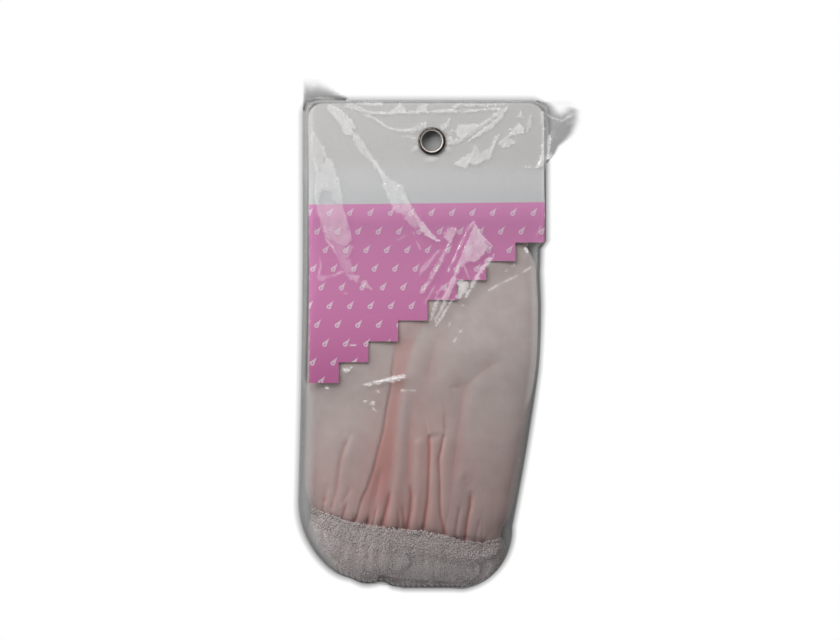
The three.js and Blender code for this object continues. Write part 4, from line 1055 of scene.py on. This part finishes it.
def lace_stations():
    """Sewn and free edge points of the lace, in order round the mouth."""
    keys = []
    middle = float(cap_section(np.array(HEM))[0])
    for index, (sewn, free, lift) in enumerate(LACE_FRONT + LACE_BACK):
        sx, sy = np.array(sewn[0]), np.array(sewn[1])
        if index in (0, len(LACE_FRONT) - 1):
            low = high = middle
            front_share = 0.4
        elif index < len(LACE_FRONT):
            high = float(front_height(sx, sy)) + 1.7
            roof = float(film_base(np.array(free[0]), np.array(free[1]))[0])
            low = max(roof - 0.8 - 1.5 * (1.2 - lift), 1.2)
            front_share = 1.0
        else:
            high = float(back_height(sx, sy)) - 0.15
            low = 1.0 + lift
            front_share = 0.0
        keys.append((*sewn, high, *free, low, lift, front_share))
    return keys


def lace_sheet():
    """Points of the lace, row by row from its sewn to its free edge, round the mouth."""
    rng = np.random.default_rng(17)
    count, cells = LACE_COLUMNS, LACE_CELLS
    edge = spline(lace_stations(), count)
    s = np.arange(count)[:, None]
    t = np.linspace(0, 1, cells + 1)[None, :]
    stagger = 0.28 * (-1.0) ** s * (-1.0) ** np.arange(cells + 1)[None, :] / cells
    reach = np.clip(t + stagger * (t > 0) * (t < 1), 0, 1)
    scallop = 1 - 0.04 * t ** 10 * (1 - np.abs(np.sin(math.pi * s / 6.0)))
    sewn, free = edge[:, None, :3], edge[:, None, 3:6]
    lift, in_front = edge[:, None, 6], np.clip(edge[:, None, 7], 0, 1)
    points = mix(sewn, free, reach[..., None])
    points[..., 2] = mix(sewn[..., 2], free[..., 2], ease(t, 0.2, 1.0))
    ruffle = np.sin(s * 0.42 + 1.5 * np.sin(s * 0.093)) * np.sin(math.pi * t ** 0.8)
    x, y = points[..., 0], points[..., 1]
    low_layer = film_base(x, y)[0] - 0.9 - (0.4 * (1.2 - lift) + 2.3) * ease(t, 0.25, 0.5)
    over = np.maximum(low_layer, front_height(x, y) + 0.5) + lobe_rise(x, y)[0] * ease(t, 0.25, 0.5)
    points[..., 2] = mix(points[..., 2], over, in_front * ease(t, -0.05, 0.55))
    points[..., 2] = np.maximum(points[..., 2], mix(points[..., 2], front_height(x, y) + 0.5, in_front))
    points[..., 2] += (1 - in_front) * (2.6 + lift) * ease(t, 0.72, 1.0)
    points[..., :2] = mix(sewn, free, (reach * scallop)[..., None])[..., :2]
    points[..., 2] += 0.16 * ruffle
    points[..., 2] += rng.uniform(-0.12, 0.12, (count, cells + 1))
    points[..., :2] += rng.uniform(-0.1, 0.1, (count, cells + 1, 2))
    ceiling = film_base(points[..., 0], points[..., 1])[0] - 0.5
    points[..., 2] = np.maximum(soft_min(points[..., 2], ceiling, 0.8), 0.3)
    points[..., 1] += end_lift(points[..., 0], points[..., 1])
    return points, s, t, rng


def make_lace(material):
    """Machine lace as an open net of cells, gathered in overlapping lobes with a scalloped edge."""
    points, s, t, rng = lace_sheet()
    count, columns = points.shape[:2]
    cells = columns - 1
    cloud = noise(s * 0.7 + 0 * t, t * 22.0 + 0 * s, 3.2, 19)
    hole = np.clip(0.3 - 0.2 * cloud + rng.uniform(-0.15, 0.15, cloud.shape), 0.08, 0.6)
    x, y = points[..., 0], points[..., 1]
    blush = np.exp(-((x + 31.0) / 9.0) ** 2 - ((y + 97.5) / 5.0) ** 2)
    blush += 0.8 * np.exp(-((x - 8.0) / 8.0) ** 2 - ((y + 98.5) / 4.5) ** 2)
    blush *= np.clip(0.6 - 0.9 * cloud, 0.15, 1)
    selvage_and_shadow = lobe_rise(x, y - end_lift(x, y))[1] * ease(t, 0.3, 0.5)
    second = np.roll(points, -1, axis=0)
    corners = np.stack([points[:, :-1], second[:, :-1], second[:, 1:], points[:, 1:]], 2)
    inner = mix(corners.mean(2, keepdims=True), corners, hole[:, :-1, None, None])
    base = points.reshape(-1, 3)
    faces = []
    for a in range(count):
        for b in range(cells):
            following = (a + 1) % count
            outer = [a * columns + b, following * columns + b,
                     following * columns + b + 1, a * columns + b + 1]
            start = len(base) + (a * cells + b) * 4
            if b >= cells - 1 or b == 0:
                faces.append(tuple(outer))
                continue
            for k in range(4):
                n = (k + 1) % 4
                faces.append((outer[k], outer[n], start + n, start + k))
    blush = np.concatenate([blush.ravel(), np.repeat(blush[:, :-1].ravel(), 4)])
    selvage_and_shadow = np.concatenate([selvage_and_shadow.ravel(), np.repeat(selvage_and_shadow[:, :-1].ravel(), 4)])
    piece = add_piece("lace_trim", np.concatenate([base, inner.reshape(-1, 3)]), faces, material,
                      ["cap_lace_trim"], {"blush": blush, "selvage_and_shadow": selvage_and_shadow})
    merge_doubles(piece.data)
    return piece


def make_loops(name, centres, size, material, seed):
    """Small bent loops of thread, one standing at each centre."""
    rng = np.random.default_rng(seed)
    count = len(centres)
    turn = rng.uniform(0, 2 * math.pi, count)[:, None]
    tall = rng.uniform(0.6, 1.2, count)[:, None] * size
    angle = np.linspace(0.15, math.pi - 0.15, 5)[None, :]
    across = np.cos(angle) * tall * 0.8
    up = np.sin(angle) * tall * rng.uniform(0.3, 0.9, count)[:, None]
    lean = rng.uniform(-0.8, 0.8, count)[:, None] * up
    half = 0.16
    strips = []
    for side in (-half, half):
        x = across * np.cos(turn) - (lean + side) * np.sin(turn)
        y = across * np.sin(turn) + (lean + side) * np.cos(turn)
        strips.append(np.stack([x, y, up], -1) + centres[:, None])
    points = np.stack(strips, 2)
    x, y = points[..., 0], points[..., 1]
    ceiling = film_base(x, y - end_lift(x, y))[0] - 0.3
    points[..., 2] = np.minimum(points[..., 2], ceiling)
    step = np.arange(count)[:, None, None] * 10 + np.arange(4)[None, :, None] * 2
    faces = step + np.array([0, 1, 3, 2])[None, None, :]
    return add_piece(name, points.reshape(-1, 3), faces.reshape(-1, 4), material)


def make_heading(material):
    """The lace's gathered heading: a dense band of thread loops along the hem, thinning over the lace."""
    rng = np.random.default_rng(23)
    points = lace_sheet()[0]
    front = int(len(points) * len(LACE_FRONT) / len(LACE_FRONT + LACE_BACK))
    columns = points.shape[1]
    band = int(0.36 * columns)
    rows = rng.integers(0, front, HEADING_LOOPS)
    heading = points[rows, rng.integers(0, band, HEADING_LOOPS)]
    heading[:, 0] += rng.uniform(-0.4, 0.4, HEADING_LOOPS)
    heading[:, 1] += rng.uniform(-0.5, 0.9, HEADING_LOOPS)
    rows = rng.integers(0, front, DROP_LOOPS)
    drop = points[rows, rng.integers(band, columns - 1, DROP_LOOPS)]
    drop = drop[drop[:, 2] > 3.0]
    ring = hem_ring(0.5, -0.5, 2 * RING_LOOPS)[:RING_LOOPS]
    ring[:, 1] += rng.uniform(-0.5, 1.3, RING_LOOPS)
    ring[:, 2] += rng.uniform(0.5, 1.1, RING_LOOPS)
    centres = np.concatenate([heading, drop, ring])
    groups = ((heading, 0.6), (drop, 0.5), (ring, 0.95))
    sizes = np.concatenate([np.full(len(group), size) for group, size in groups])
    return make_loops("lace_heading", centres, sizes[:, None], material, 29)


def make_stitches(material):
    """A run of short stitches that holds lace, vinyl and elastic together."""
    ring = hem_ring(-2.4, -1.15, 168)
    ring[:, 2] = np.maximum(ring[:, 2], 0.4)
    points, faces = [], []
    turns = 6
    for a, b in zip(ring[0::2], ring[1::2]):
        axis = b - a
        length = np.linalg.norm(axis)
        if length > 4.0 or length < 0.2:
            continue
        axis /= length
        side = np.cross(axis, (0, 0, 1.0))
        side /= np.linalg.norm(side)
        up = np.cross(side, axis)
        start = len(points)
        for share, radius in ((-0.1, 0.05), (0.1, 0.2), (0.5, 0.26), (0.9, 0.2), (1.1, 0.05)):
            for k in range(turns):
                turn = 2 * math.pi * k / turns
                points.append(a + axis * length * share
                              + radius * (math.cos(turn) * side + math.sin(turn) * up))
        faces.append(grid_faces(5, turns, closed=True) + start)
        faces.append(np.array([[0, 1, 2, 3], [0, 3, 4, 5]]) + start)
        faces.append(np.array([[3, 2, 1, 0], [5, 4, 3, 0]]) + start + 4 * turns)
    return add_piece("hem_stitches", np.array(points), np.concatenate(faces), material,
                     ["hem_seam_thread"])


def taut_profile():
    """Height of the film's top along the pack, drawn straight across the hollow at the card's bend."""
    y = np.linspace(BAG_END, CARD_FLAT_END + 2.0, 300)
    z = card_height(y) + CARD_THICKNESS + FILM_GAP
    hull = []
    for point in zip(y, z):
        while len(hull) > 1:
            (ay, az), (by, bz) = hull[-2:]
            if (by - ay) * (point[1] - az) - (bz - az) * (point[0] - ay) < 0:
                break
            hull.pop()
        hull.append(point)
    return np.array(hull)


TAUT = taut_profile()


def film_base(x, y):
    """Smooth height of the front film, and how near its top it is: 1 on top, 0 at the rim."""
    left, right = bag_sides(y)
    rim = HEADER_LIFT * ease(y, HEADER_LIFT_START, CARD_FLAT_END) + 0.5
    header = card_height(y) + CARD_THICKNESS + FILM_GAP
    top = np.where(y < TAUT[-1, 0], np.interp(y, TAUT[:, 0], TAUT[:, 1]), header)
    belly = 1 - np.maximum(ease(y, -52.2, -17.2), ease(y, HEM, BAG_END))
    left_round, right_round = mix(5.0, 12.0, belly), mix(2.2, 12.0, belly)
    from_left = np.clip(1 - (x - left) / left_round, 0, 1)
    from_right = np.clip(1 - (right - x) / right_round, 0, 1)
    from_end = np.clip(1 - (y - BAG_END) / 20.0, 0, 1)
    from_top = np.clip(1 - (BAG_TOP - y) / 1.6, 0, 1)
    fall = (1 - from_left ** 2) * (1 - from_right ** 2) * (1 - from_end ** 2) * (1 - from_top ** 2)
    near_top = np.sqrt(np.clip(fall, 0, 1))
    return rim + (top - rim) * near_top, near_top


def film_glint_veils(x, y):
    """Milky facets of the film, partly painted glint: how far inside one a place is, one half at its border,
    and its whiteness.
    """
    depth, level = np.zeros(x.shape), np.zeros(x.shape)
    for white, outline in GLINT_VEILS:
        corners = np.array(outline)
        low, high = corners.min(0) - 1.8, corners.max(0) + 1.8
        near = (x > low[0]) & (x < high[0]) & (y > low[1]) & (y < high[1])
        px, py = x[near], y[near]
        here = np.clip(0.5 + inside_gap(px, py, outline) / 3.0, 0, 1)
        level[near] = np.where(here > depth[near], white, level[near])
        depth[near] = np.maximum(depth[near], here)
    return depth, level


def film_creases(x, y):
    """Height of the creases in the front film and the white of their crests, which is partly painted glint.
    """
    rise, haze_and_glint = np.zeros(x.shape), np.zeros(x.shape)
    for index, (height, wide_a, wide_b, white, line) in enumerate(CREASES):
        off, run, length = along_line(x, y, line)
        ends = ease(run, 0, 1.2) * ease(length - run, 0, 1.2)
        beat = 0.75 + 0.25 * noise(run, off * 0.4, 4.0, 40 + index)
        off = off + 0.25 * noise(x, y, 2.4, 80 + index)
        shape = np.clip(np.where(off < 0, 1 + off / wide_a, 1 - off / wide_b), 0, 1)
        rise = np.maximum(rise, 0.5 * height * beat * ends * shape)
        # White along each crest, partly painted glint.
        crest_glint = np.exp(-(off / 0.42) ** 2) * np.clip(0.6 + 0.9 * noise(run, off, 3.4, 120 + index), 0, 1)
        gain = 1.5 if line[0][1] < 0 else 0.75
        haze_and_glint = np.maximum(haze_and_glint, gain * white * ends * crest_glint)
    gap = np.hypot(x - EYELET[0], y - EYELET[1])
    turn = np.arctan2(y - EYELET[1], x - EYELET[0])
    pucker = np.clip(np.sin(turn * 7 + 2 * np.sin(turn * 2)), 0, 1)
    pucker = pucker * ease(gap, 6.4, 7.2) * ease(gap, 11.0, 8.0)
    # White puckers round the eyelet, partly painted glint.
    haze_and_glint = np.maximum(haze_and_glint, 0.22 * pucker)
    crumple = 0.16 * (1 - np.abs(noise(x, y, 13.0, 61))) + 0.08 * (1 - np.abs(noise(x, y, 5.5, 62)))
    crumple += 0.5 * ease(y, -10.0, -40.0) * (1 - np.abs(noise(x, y, 17.0, 63)))
    return rise + 0.25 * pucker + crumple * ease(gap, 6.6, 10.0), haze_and_glint


def film_grid(rows, share):
    """Places over a panel of the bag, with its left and right edges."""
    left, right = bag_sides(rows[:, None])
    x = mix(left, right, share[None, :])
    return x, np.broadcast_to(rows[:, None], x.shape), left, right


def add_film(name, x, y, z, material, node, values):
    """A panel of the bag, its bottom edge drawn up and the eyelet's hole left open."""
    points = np.stack([x, y + end_lift(x, y), z], -1).reshape(-1, 3)
    faces = grid_faces(*x.shape)
    centre = points[faces].mean(1)
    open_hole = np.hypot(centre[:, 0] - EYELET[0], centre[:, 1] - EYELET[1]) < EYELET_HOLE
    return add_piece(name, points, faces[~open_hole], material, [node], values)


def make_front_film(material):
    """The creased front panel, with its gloss, painted shade at its margins and white that is partly painted
    glint, set place by place.
    """
    share = np.concatenate([np.linspace(0, 0.05, 14, endpoint=False),
                            np.linspace(0.05, 0.965, 216, endpoint=False), np.linspace(0.965, 1, 13)])
    rows = np.concatenate([np.linspace(BAG_TOP, BAG_TOP - 2.4, 7, endpoint=False),
                           np.linspace(BAG_TOP - 2.4, -32.0, 300, endpoint=False),
                           np.linspace(-32.0, BAG_END + 3.0, 64, endpoint=False),
                           np.linspace(BAG_END + 3.0, BAG_END, 12)])
    x, y, left, right = film_grid(rows, share)
    base, keep = film_base(x, y)
    rise, haze_and_glint = film_creases(x, y)
    z = base + rise * ease(keep, 0.3, 0.95)
    gloss = mix(0.02, 1.0, ease(keep, 0.994, 1.0)) * mix(0.12, 1.0, ease(y, -40.0, -5.0))
    dull = mix(0.75, 0.0, ease(haze_and_glint, 0.02, 0.2))
    glint_veil, level = film_glint_veils(x, y)
    # Painted shade: grey diffuse along the left margin, the top-left edge and the right margin by the cap.
    painted_margin_shade = ease(x - left, mix(9.0, 3.6, ease(y, -24.0, -14.0)), 0.6) * ease(y, BAG_END + 4.0, -96.0)
    painted_margin_shade = np.maximum(painted_margin_shade, 0.9 * ease(BAG_TOP - y, 2.2, 0.3) * ease(x, -34.0, -40.0))
    by_cap = ease(y, 50.0, 40.0) * ease(y, -100.0, -86.0)
    painted_margin_shade = np.maximum(painted_margin_shade, 0.8 * ease(right - x, 6.0, 0.8) * by_cap)
    by_left_ear = ease(x, -34.0, -40.0) * ease(y, 104.0, 109.0)
    by_right_ear = ease(x, 47.0, 51.0) * ease(y, 80.0, 86.0) * ease(y, 109.0, 106.0)
    from_rim = np.minimum(BAG_TOP - y, np.minimum(x - left, right - x))
    fade = np.maximum(by_left_ear, by_right_ear) * ease(from_rim, 3.0, 0.5)
    by_left_side = ease(y, 104.0, 98.0) * ease(y, -104.0, -92.0)
    fade = np.maximum(fade, 0.8 * ease(x - left, 2.2, 0.4) * by_left_side)
    haze_and_glint = np.maximum(haze_and_glint, 0.4 * by_right_ear * ease(right - x, 2.0, 0.3))
    values = {"haze_and_glint": haze_and_glint, "gloss": gloss, "glint_veil": glint_veil, "level": level, "painted_margin_shade": painted_margin_shade, "fade": fade,
              "dull": dull}
    return add_film("film_front", x, y, z, material, "bag_front_film", values)


def make_back_film(material):
    """The flatter back panel that the pack lies on."""
    share = np.linspace(0, 1, 90)
    rows = np.concatenate([np.linspace(BAG_TOP, 85.0, 50, endpoint=False),
                           np.linspace(85.0, BAG_END, 110)])
    x, y, left, right = film_grid(rows, share)
    side = np.minimum(x - left, right - x)
    end = np.minimum(BAG_TOP - y, y - BAG_END)
    rim = 0.45 * ease(np.minimum(side, end), 3.0, 0.0)
    wrinkle = 0.16 * (1 - np.abs(noise(x, y, 16.0, 71))) + 0.08 * (1 - np.abs(noise(x, y, 6.0, 72)))
    lift = HEADER_LIFT * ease(y, HEADER_LIFT_START, CARD_FLAT_END)
    z = 0.03 + lift + rim + wrinkle * 0.8 * ease(y, 84.0, 78.0)
    values = {"haze_and_glint": 0.2 * np.clip(noise(x, y, 5.0, 73), 0, 1), "gloss": np.ones(x.shape)}
    return add_film("film_back", x, y, z, material, "bag_back_film", values)


def make_ear(name, root, tip, folds, bright, thin, solid, material):
    """A crumpled corner of film that stands out beyond the card, with a painted highlight along one bent
    edge.
    """
    rows, columns = 60, 40
    p = np.linspace(0, 1, rows)
    root, tip = np.array(root), np.array(tip)
    at_root = np.linspace(0, 1, len(root))
    at_tip = np.linspace(0, 1, len(tip))
    inner = np.stack([np.interp(p, at_root, root[:, k]) for k in (0, 1)], -1)[:, None]
    outer = np.stack([np.interp(p, at_tip, tip[:, k]) for k in (0, 1)], -1)[:, None]
    q = np.linspace(0, 1, columns)[None, :, None]
    flat = mix(inner, outer, q)
    x, y = flat[..., 0], flat[..., 1]
    grow = ease(q[..., 0], 0.0, 0.45)
    wave = np.abs(((p[:, None] * folds + 0.5 * noise(x, y, 7.0, 91)) % 1.0) - 0.5) * 2
    z = 2.5 + grow * (2.0 * wave + 1.1 * noise(x, y, 5.0, 92) + 0.3 * noise(x, y, 2.4, 93))
    points = np.stack([x, y, np.maximum(z, 0.3)], -1).reshape(-1, 3)
    off, run, length = along_line(x, y, bright)
    # Painted highlight: white along the bent edge.
    shine = np.exp(-(off / 0.5) ** 2) * ease(run, 0, 2.0) * ease(length - run, 0, 2.0)
    haze_and_glint = 0.3 * shine + 0.04 * grow * np.clip(0.5 + noise(x, y, 2.5, 94), 0, 1)
    above = ease(off, 0.2, 5.6) * (np.abs(off) < 20)
    rim = ease(q[..., 0], solid, 1.0) ** (1.8 - solid)
    glint_veil, level = film_glint_veils(x, y)
    haze_and_glint = haze_and_glint * ease(q[..., 0], 1.0, solid)
    # Painted shade: grey at the ear's root.
    painted_margin_shade = np.broadcast_to(0.9 * ease(q[..., 0], 0.12, 0.0), x.shape)
    fade = np.clip(np.maximum(rim + thin * above * grow, 0.3 * painted_margin_shade), 0, 1)
    return add_piece(name, points, grid_faces(rows, columns), material, (),
                     {"haze_and_glint": haze_and_glint, "gloss": np.full(x.shape, 0.12), "fade": fade, "glint_veil": glint_veil,
                      "level": level, "painted_margin_shade": painted_margin_shade})


# Loose corners of the film: name, edge at the bag, free edge, folds, the line of the painted highlight edge,
# how far the film thins above that line, and how much of its reach stays solid.
EARS = [
    ("film_ear_left", [(-57.3, 108.0), (-55.6, 111.6), (-48.0, 113.2), (-38.0, 113.2)],
     [(-57.9, 109.6), (-57.9, 114.0), (-57.6, 123.4), (-51.0, 122.8), (-44.6, 119.6), (-36.0, 114.2)],
     3.0, [(-57.0, 113.4), (-50.0, 114.4), (-42.0, 113.8)], 0.0, 0.1),
    ("film_ear_right", [(50.0, 113.0), (53.8, 110.5), (55.0, 100.0), (55.0, 84.5)],
     [(53.0, 113.4), (60.0, 113.4), (66.5, 112.8), (71.4, 108.8), (71.2, 103.6), (70.0, 100.4),
      (68.6, 97.4), (65.8, 94.4), (61.4, 91.6), (59.4, 88.2), (55.2, 83.6)],
     4.0, [(54.1, 107.9), (57.5, 105.0), (62.1, 103.5), (66.2, 106.1), (70.2, 107.9)], 1.0, 0.72),
]


def make_pack():
    """Every piece of the pack."""
    front = film_material("clear_film_front", 0.02, 0.985)
    back = film_material("clear_film_rear", 0.03, 0.95)
    crushed = film_material("clear_film_crushed", 0.01, 0.33)
    lace = lace_material()
    make_card(card_material(), board_material())
    # The third colour paints the highlight ring.
    nickel = metal_material("eyelet_nickel", linear(104, 97, 90), linear(34, 30, 28),
                            linear(190, 182, 178))
    make_eyelet(nickel, metal_material("washer_nickel", linear(168, 164, 158), linear(96, 90, 84)))
    shell, lining = make_cap(vinyl_material(), terry_material())
    make_elastic(elastic_material())
    trim = make_lace(lace)
    heading = make_heading(lace)
    make_stitches(thread_material())
    film = make_front_film(front)
    rear = make_back_film(back)
    ears = [make_ear(*ear, crushed) for ear in EARS]


# Stage

def floor_material():
    """Pale floor that keeps the shadow near the pack and runs to white away from it."""
    shader = Shader("studio_floor")
    shader.set(Base_Color=shader.blend(shader.noise(30.0), linear(164, 164, 164), linear(167, 167, 167)),
               Roughness=0.9)
    shader.surface.inputs["Specular IOR Level"].default_value = 0.0
    path = shader.node("LightPath")
    seen = shader.math("MAXIMUM", path.outputs["Is Camera Ray"], path.outputs["Is Glossy Ray"])
    seen = shader.math("MAXIMUM", seen, path.outputs["Is Transmission Ray"])
    split = shader.node("SeparateXYZ", {0: shader.place()})
    x, y = split.outputs[0], split.outputs[1]
    taper = shader.math("POWER", shader.ramp(y, CARD_SHORT_END * MM, HEM * MM), 1.6)
    top_left, top_right = -CARD_HALF - LEFT_MARGIN, CARD_HALF + RIGHT_MARGIN
    low_left, low_right = HEM_LEFT - LEFT_MARGIN, HEM_RIGHT + RIGHT_MARGIN
    top_middle, low_middle = (top_left + top_right) / 2, (low_left + low_right) / 2
    top_half, low_half = (top_right - top_left) / 2, (low_right - low_left) / 2
    middle = shader.math("MULTIPLY_ADD", taper, (low_middle - top_middle) * MM, top_middle * MM)
    half = shader.math("MULTIPLY_ADD", taper, (low_half - top_half) * MM, top_half * MM)
    low_bend = shader.ramp(x, -0.02, 0.0, (LEFT_CORNER - 2.0) * MM, RIGHT_CORNER * MM)
    bend = shader.ramp(y, 0.02, -0.02, CARD_CORNER * MM, low_bend)
    below_card = shader.ramp(y, (CARD_SHORT_END + 1.0) * MM, (CARD_SHORT_END - 3.0) * MM)
    pinch = shader.math("MULTIPLY", below_card, shader.ramp(y, -0.012, 0.034, 0.0, PINCH * MM))
    pinch = shader.math("ADD", pinch, shader.ramp(y, 0.018, 0.034, 0.0, PINCH_ABOVE * MM))
    half = shader.math("SUBTRACT", half, shader.math("MULTIPLY", pinch, shader.ramp(x, -0.001, 0.001)))
    beside = shader.math("SUBTRACT", shader.math("ABSOLUTE", shader.math("SUBTRACT", x, middle)),
                         shader.math("SUBTRACT", half, bend))
    beyond = shader.math("SUBTRACT", shader.math("ABSOLUTE", y),
                         shader.math("SUBTRACT", BAG_TOP * MM, bend))
    near_end = shader.ramp(y, -0.09, -0.1)
    for (ax, low), (bx, high) in zip(END_LIFT[:-1], END_LIFT[1:]):
        rise = shader.ramp(x, ax * MM, bx * MM, 0.0, (high - low) * MM)
        beyond = shader.math("ADD", beyond, shader.math("MULTIPLY", rise, near_end))
    beside = shader.math("POWER", shader.math("MAXIMUM", beside, 0.0), 2.0)
    beyond = shader.math("POWER", shader.math("MAXIMUM", beyond, 0.0), 2.0)
    away = shader.math("SUBTRACT", shader.math("SQRT", shader.math("ADD", beside, beyond)), bend)
    far = shader.math("MULTIPLY", shader.ramp(away, -0.0008, 0.0026), seen)
    glow = shader.node("Emission", {"Color": (1, 1, 1, 1), "Strength": 1.0})
    whole = shader.node("MixShader", {0: far, 1: shader.surface.outputs[0], 2: glow.outputs[0]})
    shader.plug(shader.output.inputs[0], whole.outputs[0])
    return shader.material


def make_stage():
    size = 4.0
    mesh = bpy.data.meshes.new("floor")
    corners = [(-size, -size, 0), (size, -size, 0), (size, size, 0), (-size, size, 0)]
    mesh.from_pydata(corners, [], [(0, 1, 2, 3)])
    floor = bpy.data.objects.new("floor", mesh)
    mesh.materials.append(floor_material())
    bpy.context.scene.collection.objects.link(floor)


def add_softbox(name, azimuth, tilt, size, radiance):
    """A square lamp that faces the pack from a direction and a tilt."""
    lamp = bpy.data.lights.new(name, "AREA")
    lamp.shape = "SQUARE"
    lamp.size = size
    lamp.energy = radiance * math.pi * size * size
    holder = bpy.data.objects.new(name, lamp)
    a, t = math.radians(azimuth), math.radians(tilt)
    facing = (math.sin(t) * math.cos(a), math.sin(t) * math.sin(a), math.cos(t))
    holder.location = [part * SOFTBOX_DISTANCE for part in facing]
    holder.rotation_euler = (t, 0, a + math.pi / 2)
    bpy.context.scene.collection.objects.link(holder)


def make_light():
    """The softboxes, and a world that is brighter near the horizon than overhead."""
    for softbox in SOFTBOXES:
        add_softbox(*softbox)
    world = bpy.data.worlds.new("studio")
    bpy.context.scene.world = world
    world.use_nodes = True
    tree = world.node_tree
    ground = tree.nodes["Background"]
    place = tree.nodes.new("ShaderNodeTexCoord")
    split = tree.nodes.new("ShaderNodeSeparateXYZ")
    level = tree.nodes.new("ShaderNodeMapRange")
    for socket, value in zip(level.inputs[1:5], (0.1, 0.6, 0.95, 0.15)):
        socket.default_value = value
    tree.links.new(place.outputs["Generated"], split.inputs[0])
    tree.links.new(split.outputs[2], level.inputs[0])
    tree.links.new(level.outputs[0], ground.inputs["Strength"])
    ground.inputs["Color"].default_value = (1, 1, 1, 1)


def make_camera():
    data = bpy.data.cameras.new("camera")
    data.sensor_width = 36.0
    data.lens = LENS
    camera = bpy.data.objects.new("camera", data)
    camera.location = CAMERA_PLACE
    camera.rotation_euler = (0, 0, 0)
    bpy.context.scene.collection.objects.link(camera)
    bpy.context.scene.camera = camera


make_pack()
make_stage()
make_light()
make_camera()
bpy.context.scene.view_settings.view_transform = "Standard"
